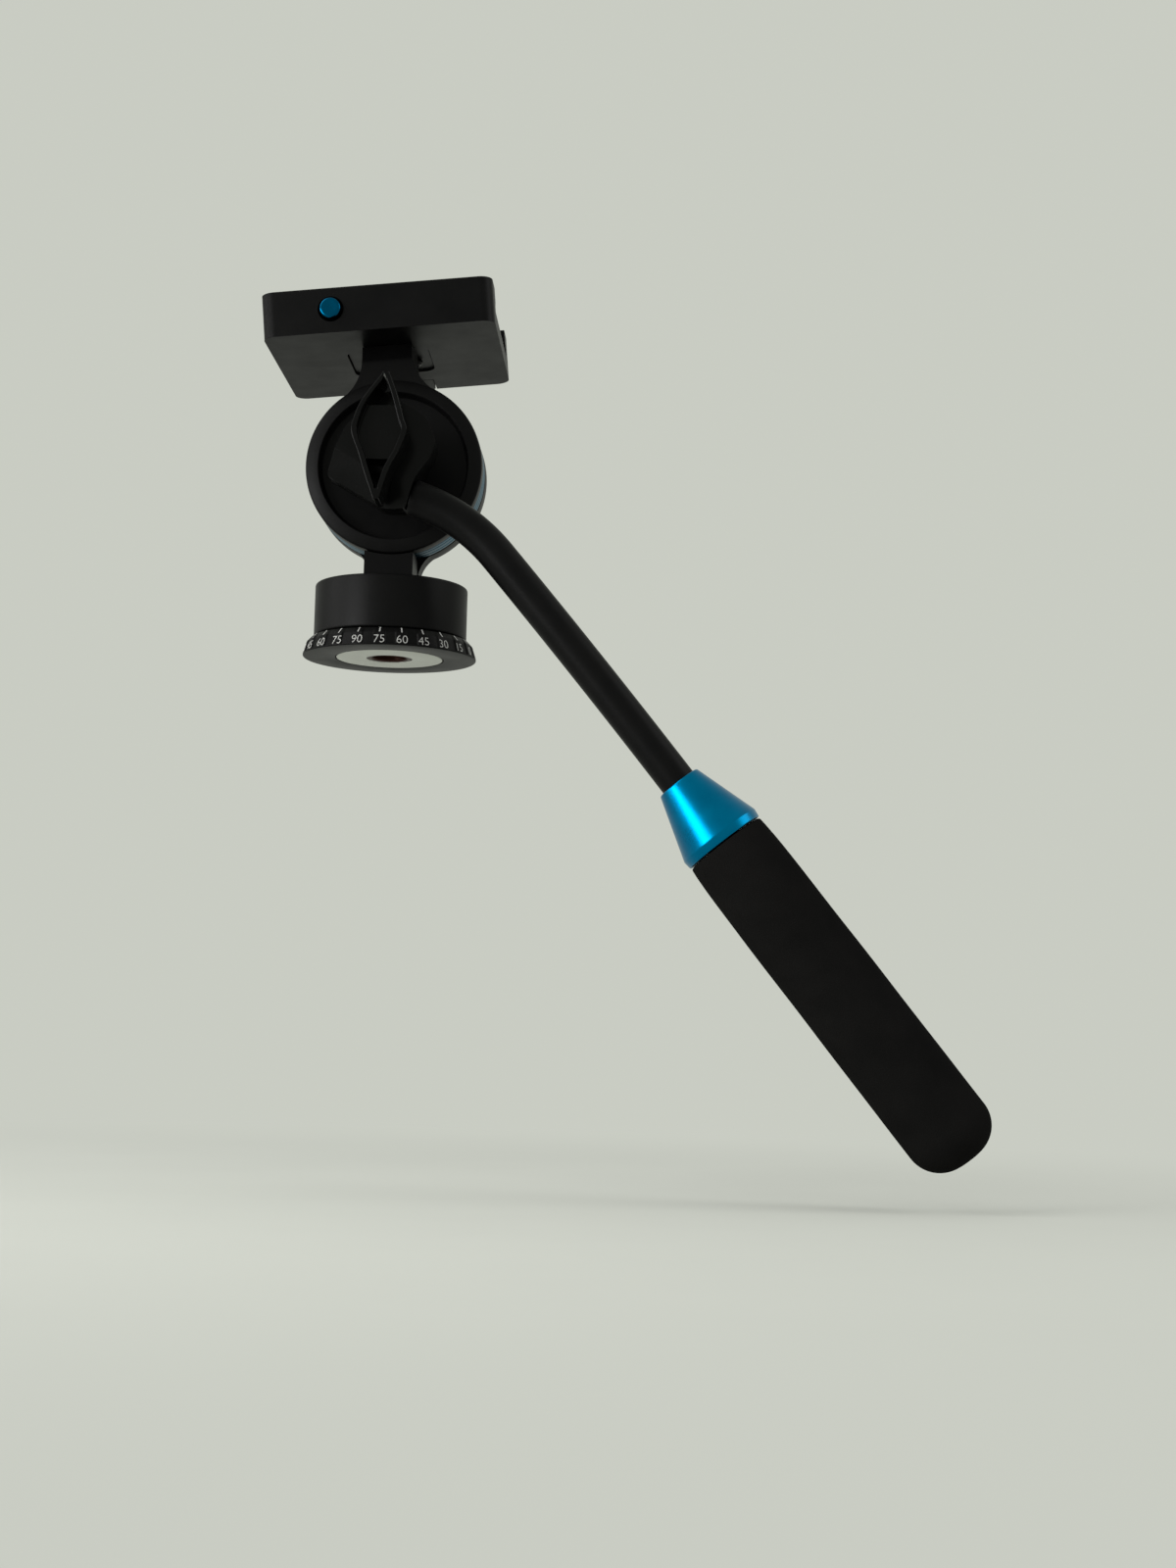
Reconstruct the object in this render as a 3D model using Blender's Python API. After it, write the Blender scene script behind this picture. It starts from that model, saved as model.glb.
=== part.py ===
"""Small fluid head for a tripod: pan base, tilt discs, quick-release platform and bent handle.

The frame is +Z up along the pan axis, with the origin at the centre of the base's underside.
The near side, where the handle is, faces -Y, and the lens looks along -X. All lengths are in metres.
"""
import math

import bmesh
import bpy
from mathutils import Matrix

# Clearances and cuts
GAP = 0.0003
OVERRUN = 0.001
EDGE_BEVEL = 0.0004

# Facets
BIG_STEPS = 50
RING_STEPS = 72
MID_STEPS = 22
SMALL_STEPS = 14
ARC_STEPS = 5
KNOB_STEPS = 30
GRIP_STEPS = 28
PIN_STEPS = 12
ROD_STEPS = 18
SHARP_ANGLE = math.radians(35)

# Pan base
BASE_RADIUS = 0.0225
BASE_TOP_RADIUS = 0.0203
BASE_HEIGHT = 0.00478
BASE_EDGE = 0.0006
BASE_BAND_RADIUS = 0.0216
BASE_BAND_HEIGHT = 0.0034
GRIP_FLATS = 24
GRIP_FLAT_DEPTH = 0.00035
GRIP_FLAT_SHARE = 0.5
SEAT_RADIUS = 0.01377
SEAT_THICKNESS = 0.0016
HOLE_RADIUS = 0.00592
THREAD_RADIUS = 0.0041
THREAD_CHAMFER = 0.0007
INSERT_LENGTH = 0.0092
INSERT_RECESS = 0.0009

# Pan spindle and what turns on it
SPINDLE_WALL = 0.00258
SPINDLE_FLANGE_RADIUS = 0.011
SPINDLE_FLANGE = 0.0011
SPINDLE_LENGTH = 0.0118
SPINDLE_NECK_RADIUS = 0.006
SPINDLE_NECK_LENGTH = 0.0021
NUT_RADIUS = 0.0096
NUT_HEIGHT = 0.0015
BUSH_WALL = 0.0022
BUSH_LENGTH = 0.0030
WASHER_WIDTH = 0.005
WASHER_THICKNESS = 0.0008

# Pan housing
HOUSING_RADIUS = 0.01982
HOUSING_HEIGHT = 0.01319
HOUSING_EDGE = 0.0009
HOUSING_EDGE_SHARE = 0.3
HOUSING_WALL = 0.0028
VIAL_RADIUS = 0.0042
VIAL_HEIGHT = 0.0018
VIAL_DEPTH = 0.0013
VIAL_INSET = 0.00602
VIAL_HEADING = math.radians(152)

# Pan lock, on the rear of the housing
LOCK_HEIGHT = 0.0062
SHOE_WIDTH = 0.0070
SHOE_HEIGHT = 0.0042
SHOE_LENGTH = 0.0042
LOCK_SCREW_RADIUS = 0.0024
LOCK_BOSS_RADIUS = 0.0048
LOCK_BOSS_LENGTH = 0.0030
LOCK_KNOB_RADIUS = 0.0078
LOCK_KNOB_LENGTH = 0.0105
LOCK_KNOB_COLLAR_RADIUS = 0.0050
KNOB_LOBES = 6
KNOB_LOBE_SHARE = 0.16
KNOB_EDGE = 0.0009
KNOB_GRIP_DEPTH = 0.0060

# Tilt axis and discs
AXIS_RISE = 0.03099
AXIS_X = 0.00045
NEAR_DISC_RADIUS = 0.02294
NEAR_EDGE_Y = -0.00884
NEAR_RIM_Y = -0.0099
NEAR_BEVEL_WIDTH = 0.0035
NEAR_RIM_WIDTH = 0.00124
NEAR_RECESS_Y = -0.0065
NEAR_BACK_Y = -0.0045
RING_SETBACK = 0.00054
RING_WIDTH = 0.0054
RING_EDGE = 0.0004
FAR_SETBACK = 0.00004
FAR_FRONT_Y = 0.0018
FAR_BACK_Y = 0.00886
FAR_EDGE = 0.0007
FAR_RIM_WIDTH = 0.0038
FAR_RECESS = 0.0012
SADDLE_CLEARANCE = 0.00036

# Lower and upper necks
NECK_HALF_WIDTH = 0.0063
NECK_DEPTH = 0.0088
LOWER_FILLET = 0.0090
UPPER_HALF_WIDTH = 0.0065
UPPER_FILLET = 0.0130
NECK_SLOPE_RISE = 0.0045
NECK_SLOPE_DEPTH = 0.0022

# Tilt axle and damping cartridge
AXLE_RADIUS = 0.0040
AXLE_TAIL = 0.0110
TILT_HUB_RADIUS = 0.0080
TILT_BUSH_WALL = 0.0013
TILT_BUSH_LENGTH = 0.0024
HUB_WEB = 0.0008
BOLT_SEAT = 0.0042
STACK_DISCS = 3
THRUST_RADIUS = 0.0090
THRUST_THICKNESS = 0.0011
TILT_KNOB_RADIUS = 0.0115
TILT_KNOB_LENGTH = 0.0130

# Platform, in its own frame on the tilt axis
PLATFORM_TILT = math.radians(5.33)
PLATFORM_WIDTH = 0.0598
PLATFORM_CENTRE_X = -0.00065
PLATFORM_NEAR_Y = -0.01984
PLATFORM_DEPTH = 0.05641
PLATFORM_RISE = 0.03326
PLATFORM_HEIGHT = 0.01182
PLATFORM_CORNER = 0.0035
FLOOR_THICKNESS = 0.00474
FLANGE_HALF_WIDTH = 0.0105
FLANGE_FRONT_Y = -0.0018
FLANGE_BACK_Y = 0.0193
FLANGE_CORNER = 0.0030
FLANGE_RECESS = 0.00064
FLANGE_THICKNESS = 0.00106
FLANGE_SCREW_SPACING = 0.0067
FLANGE_SCREW_Y = 0.0106
FLANGE_SCREW_RADIUS = 0.0009
FLANGE_SCREW_HEAD = 0.0015
FLANGE_SCREW_HEAD_HEIGHT = 0.0013
FLANGE_SCREW_CROWN_SHARE = 0.7
FLANGE_SCREW_GRIP = 0.0014

# Quick-release plate and its dovetail
PLATE_CENTRE_Y = 0.0080
PLATE_HALF_WIDTH = 0.0190
PLATE_LENGTH = 0.0500
PLATE_LIP = 0.0018
PLATE_EDGE = 0.0012
PLATE_PROUD = 0.0002
PLATE_CORNER = 0.0020
PAD_WIDTH = 0.0120
PAD_LENGTH = 0.0260
PAD_SPACING = 0.0170
PAD_THICKNESS = 0.0008
PAD_RECESS = 0.0005
CAMERA_SCREW_RADIUS = 0.00305
CAMERA_SCREW_REACH = 0.0050
CAMERA_SCREW_HEAD = 0.0066
CAMERA_SCREW_HEAD_HEIGHT = 0.0030
CAMERA_SCREW_SLOT = 0.0012
CAMERA_SCREW_SLOT_DEPTH = 0.0012
STOP_SLOT_TRAVEL = 0.0050
STOP_PIN_RADIUS = 0.0012
STOP_PIN_LENGTH = 0.0034
STOP_PIN_HEIGHT = 0.0010
STOP_PIN_INSET = 0.0029
STOP_DROP = 0.0009
STOP_SLOT_ROUND_SHARE = 0.98

# Moving jaw, its screw and knob
JAW_TONGUE_HALF_WIDTH = 0.0085
JAW_TONGUE_SETBACK = 0.0004
CLAMP_SCREW_RADIUS = 0.0015
CLAMP_SCREW_RISE = 0.00244
CLAMP_END_WALL = 0.0010
GUIDE_PIN_RADIUS = 0.0010
GUIDE_PIN_SPACING = 0.0055
CLAMP_KNOB_RADIUS = 0.0075
CLAMP_KNOB_LENGTH = 0.0105
CLAMP_SCREW_GRIP = 0.0050

# Safety button in the near face
BUTTON_X = -0.0126
BUTTON_RISE = 0.00624
BUTTON_RADIUS = 0.00272
BUTTON_WELL_WALL = 0.0006
BUTTON_WELL_DEPTH = 0.0029
BUTTON_PROUD = 0.0015
BUTTON_DOME = 0.0006
BUTTON_CROWN_SHARES = ((0.0, 0.0), (0.55, 0.25), (0.88, 1.0), (1.0, 2.0))
BUTTON_BODY = 0.0011
BUTTON_STEM_RADIUS = 0.0008
BUTTON_STEM_SETBACK = 0.0016
SPRING_WIRE_RADIUS = 0.00018
SPRING_COILS = 3
SPRING_COIL_POINTS = 8
SPRING_WIRE_STEPS = 5

# Handle base: a shield-shaped plate on a round neck
BASE_PLATE_FRONT_Y = -0.0320
BASE_PLATE_BACK_Y = -0.0227
BASE_NECK_RADIUS = 0.0090
SHIELD_LEFT = 0.0141
SHIELD_RIGHT = 0.0131
SHIELD_TOP = 0.0130
SHIELD_BOTTOM = 0.0162
SHIELD_BEVEL = 0.0006
FACET_ANGLE = math.radians(24)
FACET_HEADING = math.radians(-31)
FACET_OFFSET = 0.0072
BOLT_RADIUS = 0.0025
BOLT_WEB = 0.0014

# Handle rod, collar and foam grip, in the plane of the rod's axis
ROD_PLANE_Y = -0.0275
ROD_RADIUS = 0.00445
ROD_START_X = 0.0074
ROD_START_Z = -0.0131
ROD_START_ANGLE = math.radians(-19.0)
ROD_END_ANGLE = math.radians(-51.0)
ROD_BEND_RADIUS = 0.0640
ROD_BEND_STEPS = 10
ROD_STRAIGHT = 0.0655
SPIGOT_RADIUS = 0.0030
SPIGOT_LENGTH = 0.0052
COLLAR_NOSE_RADIUS = 0.0055
COLLAR_CONE = 0.01535
COLLAR_BAND = 0.0027
GRIP_RADIUS = 0.01045
GRIP_MID_RADIUS = 0.01100
GRIP_END_RADIUS = 0.01105
GRIP_LENGTH = 0.0968
GRIP_ROUND = 0.0085
GRIP_CAP = 0.0100
GRIP_MID_SHARE = 0.35

# Handle locking knob: a leaf-shaped loop with a web across its middle
LEAF_HALF_WIDTH = 0.0067
LEAF_HALF_HEIGHT = 0.0160
LEAF_CENTRE_Z = -0.0005
LEAF_FRONT_Y = -0.0415
LEAF_CLEARANCE = 0.0004
LEAF_WALL = 0.0013
LEAF_WEB_TOP = 0.0079
LEAF_WEB_BOTTOM = 0.0059
LEAF_WEB_RECESS = 0.0030
LEAF_TIP_GAP = 0.0009
LEAF_STEPS = 12
LEAF_LEFT_SHARES = (
    (-1.0, 0.10), (-0.60, 0.45), (-0.28, 0.70), (0.05, 0.98), (0.30, 0.88), (0.56, 0.62), (0.98, -0.10),
)
LEAF_RIGHT_SHARES = (
    (-1.0, 0.10), (-0.52, 0.44), (-0.24, 0.78), (0.08, 1.04), (0.27, 0.92), (0.65, 0.65), (0.98, 0.36),
)
SHIELD_LEFT_SHARES = (
    (0.00, 1.00), (-0.655, 0.344), (-0.865, -0.140), (-1.00, -0.485), (-0.19, -0.89), (0.03, -1.0),
)
SHIELD_RIGHT_SHARES = ((0.80, 0.54), (0.95, 0.214), (1.00, 0.022), (0.91, -0.215))

# Derived places
HOUSING_BOTTOM = BASE_HEIGHT + GAP
HOUSING_TOP = HOUSING_BOTTOM + HOUSING_HEIGHT
AXIS_HEIGHT = HOUSING_TOP + AXIS_RISE
SPINDLE_RADIUS = HOLE_RADIUS + SPINDLE_WALL
SPINDLE_BOTTOM = SEAT_THICKNESS + GAP
SPINDLE_SHOULDER = SPINDLE_BOTTOM + SPINDLE_LENGTH
SPINDLE_TOP = SPINDLE_SHOULDER + SPINDLE_NECK_LENGTH
BUSH_RADIUS = SPINDLE_RADIUS + GAP + BUSH_WALL
LOCK_Z = HOUSING_BOTTOM + LOCK_HEIGHT
SHOE_FRONT = SPINDLE_RADIUS + GAP
SHOE_BACK = SHOE_FRONT + SHOE_LENGTH
LOCK_BOSS_END = HOUSING_RADIUS + LOCK_BOSS_LENGTH
VIAL_OFFSET = HOUSING_RADIUS - VIAL_INSET
NEAR_RIM_RADIUS = NEAR_DISC_RADIUS - NEAR_BEVEL_WIDTH
NEAR_RECESS_RADIUS = NEAR_RIM_RADIUS - NEAR_RIM_WIDTH
RING_RADIUS = NEAR_DISC_RADIUS - RING_SETBACK
RING_INNER_RADIUS = RING_RADIUS - RING_WIDTH
FAR_DISC_RADIUS = NEAR_DISC_RADIUS - FAR_SETBACK
SADDLE_RADIUS = NEAR_DISC_RADIUS + SADDLE_CLEARANCE
RING_FRONT_Y = NEAR_BACK_Y + GAP
RING_BACK_Y = FAR_FRONT_Y - GAP
PLATFORM_TOP = PLATFORM_RISE + PLATFORM_HEIGHT
PLATFORM_BACK_Y = PLATFORM_NEAR_Y + PLATFORM_DEPTH
FLOOR_TOP = PLATFORM_RISE + FLOOR_THICKNESS
FLANGE_BOTTOM = PLATFORM_RISE + FLANGE_RECESS
FLANGE_TOP = FLANGE_BOTTOM + FLANGE_THICKNESS
PLATE_BOTTOM = FLOOR_TOP + GAP
PLATE_TOP = PLATFORM_TOP + PLATE_PROUD
PLATE_NECK = PLATE_HALF_WIDTH - PLATE_LIP
GROOVE_Y = PLATE_CENTRE_Y - PLATE_HALF_WIDTH - GAP
STOP_PIN_Y = PLATE_CENTRE_Y - PLATE_HALF_WIDTH + STOP_PIN_INSET
JAW_LIP_Y = PLATE_CENTRE_Y + PLATE_NECK + GAP
JAW_TONGUE_Y = JAW_LIP_Y + PLATE_LIP + JAW_TONGUE_SETBACK
CLAMP_SCREW_Z = PLATFORM_RISE + CLAMP_SCREW_RISE
CLAMP_BORE_Y = FLANGE_BACK_Y + GAP + CLAMP_END_WALL
LEAF_BACK_Y = BASE_PLATE_FRONT_Y - LEAF_CLEARANCE
FAR_FLOOR_Y = FAR_BACK_Y - FAR_RECESS
BORE_RADIUS = AXLE_RADIUS + GAP
BOLT_BORE = BOLT_RADIUS + GAP


# Shared shapes

def clear_scene():
    """Removes every object, so that the script can be run again."""
    for item in list(bpy.data.objects):
        bpy.data.objects.remove(item, do_unlink=True)


def finish(name, colour, roughness, metallic):
    """Makes a plain finish from its colour, roughness and metallic value."""
    material = bpy.data.materials.new(name)
    material.use_nodes = True
    shader = material.node_tree.nodes["Principled BSDF"]
    shader.inputs["Base Color"].default_value = (*colour, 1.0)
    shader.inputs["Roughness"].default_value = roughness
    shader.inputs["Metallic"].default_value = metallic
    material.diffuse_color = (*colour, 1.0)
    return material


def along_axis(axis, radius, along, angle):
    """Turns a place on a turned shape into x, y and z."""
    if axis == "Z":
        return (radius * math.cos(angle), radius * math.sin(angle), along)
    if axis == "Y":
        return (radius * math.cos(angle), along, radius * math.sin(angle))
    return (along, radius * math.cos(angle), radius * math.sin(angle))


def add_piece(name, shape, material, parent=None, smooth=True):
    """Makes an object from a shape, with its faces turned outwards."""
    bmesh.ops.recalc_face_normals(shape, faces=shape.faces)
    mesh = bpy.data.meshes.new(name)
    shape.to_mesh(mesh)
    shape.free()
    if smooth:
        mesh.shade_smooth()
        mesh.set_sharp_from_angle(angle=SHARP_ANGLE)
    piece = bpy.data.objects.new(name, mesh)
    bpy.context.scene.collection.objects.link(piece)
    if material is not None:
        mesh.materials.append(material)
    piece.parent = parent
    return piece


def add_turned(shape, profile, axis="Z", steps=MID_STEPS, centre=(0.0, 0.0, 0.0), wave=None):
    """Turns a profile of (radius, along) points about an axis through centre.

    A profile that starts and ends on the axis closes there, and any other closes on itself.
    """
    closed = profile[0][0] > 0.0 or profile[-1][0] > 0.0
    rows = []
    for radius, along in profile:
        row = []
        for step in range(1 if radius == 0.0 else steps):
            angle = math.tau * step / steps
            reach = wave(radius, along, angle) if wave else radius
            place = along_axis(axis, reach, along, angle)
            row.append(shape.verts.new([value + shift for value, shift in zip(place, centre)]))
        rows.append(row)
    pairs = list(zip(rows, rows[1:]))
    if closed:
        pairs.append((rows[-1], rows[0]))
    for first, second in pairs:
        for step in range(steps):
            after = (step + 1) % steps
            if len(first) == 1:
                shape.faces.new((first[0], second[step], second[after]))
            elif len(second) == 1:
                shape.faces.new((first[step], second[0], first[after]))
            else:
                shape.faces.new((first[step], second[step], second[after], first[after]))


def add_prism(shape, outline, low, high, axis="Y"):
    """Extrudes an outline along an axis: (x, z) along Y, (x, y) along Z or (y, z) along X."""
    def place(point, along):
        first, second = point
        return {"Y": (first, along, second), "Z": (first, second, along), "X": (along, first, second)}[axis]
    lower = [shape.verts.new(place(point, low)) for point in outline]
    upper = [shape.verts.new(place(point, high)) for point in outline]
    shape.faces.new(lower)
    shape.faces.new(list(reversed(upper)))
    for index in range(len(outline)):
        after = (index + 1) % len(outline)
        shape.faces.new((lower[index], upper[index], upper[after], lower[after]))


def rod_profile(radius, low, high):
    """Profile of a plain round rod, closed on its axis."""
    return [(0.0, low), (radius, low), (radius, high), (0.0, high)]


def turned(name, profile, material, parent=None, axis="Z", steps=MID_STEPS, centre=(0.0, 0.0, 0.0), wave=None):
    """Makes a turned piece of its own."""
    shape = bmesh.new()
    add_turned(shape, profile, axis, steps, centre, wave)
    return add_piece(name, shape, material, parent)


def prism(name, outline, low, high, material, parent=None, axis="Y", smooth=False):
    """Makes an extruded piece of its own."""
    shape = bmesh.new()
    add_prism(shape, outline, low, high, axis)
    return add_piece(name, shape, material, parent, smooth)


def use_as_tool(tool):
    """Keeps a cutter or a joined-in shape out of the model."""
    tool.hide_render = True
    tool.display_type = "WIRE"


def combine(target, tool, operation):
    """Adds a Boolean with a tool shape in the same frame."""
    modifier = target.modifiers.new(operation.lower(), "BOOLEAN")
    modifier.operation = operation
    modifier.solver = "EXACT"
    modifier.object = tool
    use_as_tool(tool)


def cut(target, tool):
    """Cuts a tool shape out of a piece."""
    combine(target, tool, "DIFFERENCE")


def join(target, tool):
    """Joins a tool shape to a piece."""
    combine(target, tool, "UNION")


def bevel(piece, width, segments=1):
    """Rounds the sharp edges of a piece."""
    modifier = piece.modifiers.new("bevel", "BEVEL")
    modifier.width = width
    modifier.segments = segments
    modifier.limit_method = "ANGLE"
    modifier.angle_limit = SHARP_ANGLE
    modifier.use_clamp_overlap = True


def arc(centre, radius, start, stop, steps=ARC_STEPS):
    """Points on an arc in a plane, from angle start to angle stop."""
    points = []
    for step in range(steps + 1):
        angle = start + (stop - start) * step / steps
        points.append((centre[0] + radius * math.cos(angle), centre[1] + radius * math.sin(angle)))
    return points


def rounded_rectangle(left, right, low, high, radius, steps=ARC_STEPS):
    """Outline of a rectangle with round corners."""
    outline = []
    outline += arc((right - radius, high - radius), radius, 0.0, math.pi / 2, steps)
    outline += arc((left + radius, high - radius), radius, math.pi / 2, math.pi, steps)
    outline += arc((left + radius, low + radius), radius, math.pi, math.pi * 3 / 2, steps)
    outline += arc((right - radius, low + radius), radius, math.pi * 3 / 2, math.tau, steps)
    return outline


def neck_outline(disc_radius, inner_radius, half_width, fillet, end, side):
    """Outline in (x, z) of a neck that flares into a disc about the origin; side is 1 up or -1 down."""
    centre_x = half_width + fillet
    centre_z = math.sqrt((disc_radius - GAP + fillet) ** 2 - centre_x ** 2)
    heading = math.atan2(centre_z, centre_x)
    right = arc((centre_x, centre_z), fillet, heading - math.pi, -math.pi)
    inner = arc((0.0, 0.0), inner_radius, math.pi - heading, heading)
    outline = [(half_width, end)]
    outline += list(reversed(right))
    outline += list(reversed(inner))
    outline += [(-x, z) for x, z in right]
    outline += [(-half_width, end)]
    return [(x, side * z) for x, z in outline]


def lobes(core):
    """Gives a wave that scallops the rim of a knob, outside its core radius."""
    def wave(radius, _along, angle):
        if radius <= core:
            return radius
        return radius * (1 - KNOB_LOBE_SHARE * (1 - math.cos(KNOB_LOBES * angle)) / 2)
    return wave


def knob_profile(radius, collar, bore, front, length, depth):
    """Profile of a lobed knob on a blind bore; it grows from front along its axis."""
    collar_end = front + length - KNOB_GRIP_DEPTH
    back = front + length
    return [
        (0.0, front + depth), (bore, front + depth), (bore, front), (collar, front),
        (collar, collar_end - KNOB_EDGE), (radius - KNOB_EDGE, collar_end),
        (radius, collar_end + KNOB_EDGE), (radius, back - KNOB_EDGE), (radius - KNOB_EDGE, back), (0.0, back),
    ]


# Pan base

def grip_flats(radius, along, angle):
    """Presses shallow flats into the flared side of the base, halfway between the dial's ticks."""
    on_band = BASE_EDGE < along < BASE_HEIGHT and radius > BASE_TOP_RADIUS
    pitch = math.tau / GRIP_FLATS
    offset = abs((angle % pitch) / pitch - 1 / 2)
    return radius - GRIP_FLAT_DEPTH if on_band and offset < GRIP_FLAT_SHARE / 2 else radius


def make_base(black, parent):
    """Makes the fixed base ring, which carries the dial and holds the seat plate and the spindle."""
    seat_bore = SEAT_RADIUS + GAP
    flange_bore = SPINDLE_FLANGE_RADIUS + GAP
    flange_top = SPINDLE_BOTTOM + SPINDLE_FLANGE + GAP
    profile = [
        (seat_bore, 0.0), (BASE_RADIUS - BASE_EDGE, 0.0), (BASE_RADIUS, BASE_EDGE),
        (BASE_RADIUS, 2 * BASE_EDGE), (BASE_BAND_RADIUS, BASE_BAND_HEIGHT),
        (BASE_TOP_RADIUS, BASE_HEIGHT), (SPINDLE_RADIUS + GAP, BASE_HEIGHT),
        (SPINDLE_RADIUS + GAP, flange_top), (flange_bore, flange_top), (flange_bore, SPINDLE_BOTTOM),
        (seat_bore, SPINDLE_BOTTOM),
    ]
    return turned("base_ring", profile, black, parent, steps=RING_STEPS, wave=grip_flats)


def make_seat_plate(silver, parent):
    """Makes the pale ring that rests on the tripod and keeps the spindle's flange in place."""
    top = SEAT_THICKNESS
    profile = [(HOLE_RADIUS, 0.0), (SEAT_RADIUS, 0.0), (SEAT_RADIUS, top), (HOLE_RADIUS, top)]
    return turned("seat_plate", profile, silver, parent, steps=BIG_STEPS)


def make_thread_insert(brass, parent):
    """Makes the tapped bush that takes the tripod's screw."""
    outer = HOLE_RADIUS - GAP
    bottom = INSERT_RECESS
    top = bottom + INSERT_LENGTH
    profile = [
        (THREAD_RADIUS + THREAD_CHAMFER, bottom), (outer, bottom), (outer, top), (THREAD_RADIUS, top),
        (THREAD_RADIUS, bottom + THREAD_CHAMFER),
    ]
    return turned("thread_insert", profile, brass, parent)


def make_spindle(steel, parent):
    """Makes the hollow spindle that the housing turns on."""
    floor = INSERT_RECESS + INSERT_LENGTH + GAP
    flange_top = SPINDLE_BOTTOM + SPINDLE_FLANGE
    profile = [
        (0.0, floor), (HOLE_RADIUS, floor), (HOLE_RADIUS, SPINDLE_BOTTOM), (SPINDLE_FLANGE_RADIUS, SPINDLE_BOTTOM),
        (SPINDLE_FLANGE_RADIUS, flange_top), (SPINDLE_RADIUS, flange_top), (SPINDLE_RADIUS, SPINDLE_SHOULDER),
        (SPINDLE_NECK_RADIUS, SPINDLE_SHOULDER), (SPINDLE_NECK_RADIUS, SPINDLE_TOP), (0.0, SPINDLE_TOP),
    ]
    return turned("pan_spindle", profile, steel, parent)


def make_spindle_nut(steel, parent):
    """Makes the six-sided nut that keeps the housing on its spindle."""
    low = SPINDLE_SHOULDER + GAP
    shape = bmesh.new()
    add_prism(shape, arc((0.0, 0.0), NUT_RADIUS, 0.0, math.tau * 5 / 6, 5), low, low + NUT_HEIGHT, "Z")
    nut = add_piece("spindle_nut", shape, steel, parent, smooth=False)
    hole = rod_profile(SPINDLE_NECK_RADIUS + GAP, low - OVERRUN, low + NUT_HEIGHT + OVERRUN)
    cut(nut, turned("nut_bore_tool", hole, None, parent))
    return nut


def make_pan_bush(bronze, parent):
    """Makes the bearing bush between spindle and housing."""
    inner = SPINDLE_RADIUS + GAP
    low = HOUSING_BOTTOM
    high = low + BUSH_LENGTH
    profile = [(inner, low), (BUSH_RADIUS, low), (BUSH_RADIUS, high), (inner, high)]
    return turned("pan_bush", profile, bronze, parent)


def make_drag_washer(nylon, parent):
    """Makes the flat washer that drags between base and housing."""
    inner = BUSH_RADIUS + 2 * GAP
    outer = inner + WASHER_WIDTH
    low = HOUSING_BOTTOM
    high = low + WASHER_THICKNESS
    profile = [(inner, low), (outer, low), (outer, high), (inner, high)]
    return turned("pan_drag_washer", profile, nylon, parent)


# Pan housing and its lock

def vial_centre():
    """Place of the level on the housing's top."""
    return (VIAL_OFFSET * math.cos(VIAL_HEADING), VIAL_OFFSET * math.sin(VIAL_HEADING), 0.0)


def make_housing(black, parent):
    """Makes the drum that turns on the base, with its bores, boss and vial pocket."""
    bush_top = HOUSING_BOTTOM + BUSH_LENGTH + GAP
    washer_top = HOUSING_BOTTOM + WASHER_THICKNESS + GAP
    washer_outer = BUSH_RADIUS + 3 * GAP + WASHER_WIDTH
    chamber_low = SPINDLE_SHOULDER - OVERRUN
    chamber_top = SPINDLE_TOP + GAP
    edge_step = HOUSING_EDGE * HOUSING_EDGE_SHARE
    profile = [
        (0.0, chamber_top), (NUT_RADIUS + GAP, chamber_top), (NUT_RADIUS + GAP, chamber_low),
        (SPINDLE_RADIUS + GAP, chamber_low), (SPINDLE_RADIUS + GAP, bush_top), (BUSH_RADIUS + GAP, bush_top),
        (BUSH_RADIUS + GAP, washer_top), (washer_outer, washer_top), (washer_outer, HOUSING_BOTTOM),
        (HOUSING_RADIUS, HOUSING_BOTTOM), (HOUSING_RADIUS, HOUSING_TOP - HOUSING_EDGE),
        (HOUSING_RADIUS - edge_step, HOUSING_TOP - edge_step),
        (HOUSING_RADIUS - HOUSING_EDGE, HOUSING_TOP), (0.0, HOUSING_TOP),
    ]
    housing = turned("pan_housing", profile, black, parent, steps=BIG_STEPS)
    pocket = rod_profile(VIAL_RADIUS + GAP, HOUSING_TOP - VIAL_DEPTH - GAP, HOUSING_TOP + OVERRUN)
    cut(housing, turned("vial_pocket_tool", pocket, None, parent, "Z", MID_STEPS, vial_centre()))
    boss = rod_profile(LOCK_BOSS_RADIUS, HOUSING_RADIUS - HOUSING_WALL, LOCK_BOSS_END)
    join(housing, turned("boss_tool", boss, None, parent, "Y", MID_STEPS, (0.0, 0.0, LOCK_Z)))
    shoe_half = SHOE_WIDTH / 2 + GAP
    low = LOCK_Z - SHOE_HEIGHT / 2 - GAP
    high = LOCK_Z + SHOE_HEIGHT / 2 + GAP
    shoe = [(-shoe_half, low), (shoe_half, low), (shoe_half, high), (-shoe_half, high)]
    cut(housing, prism("shoe_tool", shoe, SPINDLE_RADIUS - OVERRUN, SHOE_BACK + GAP, None, parent))
    screw = rod_profile(LOCK_SCREW_RADIUS + GAP, SHOE_BACK - OVERRUN, LOCK_BOSS_END + OVERRUN)
    cut(housing, turned("lock_bore_tool", screw, None, parent, "Y", SMALL_STEPS, (0.0, 0.0, LOCK_Z)))
    return housing


def make_level_vial(liquid, parent):
    """Makes the round level in the top of the housing."""
    low = HOUSING_TOP - VIAL_DEPTH
    high = low + VIAL_HEIGHT
    profile = [
        (0.0, low), (VIAL_RADIUS, low), (VIAL_RADIUS, high - EDGE_BEVEL), (VIAL_RADIUS - EDGE_BEVEL, high),
        (0.0, high),
    ]
    return turned("level_vial", profile, liquid, parent, centre=vial_centre(), steps=MID_STEPS)


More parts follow.
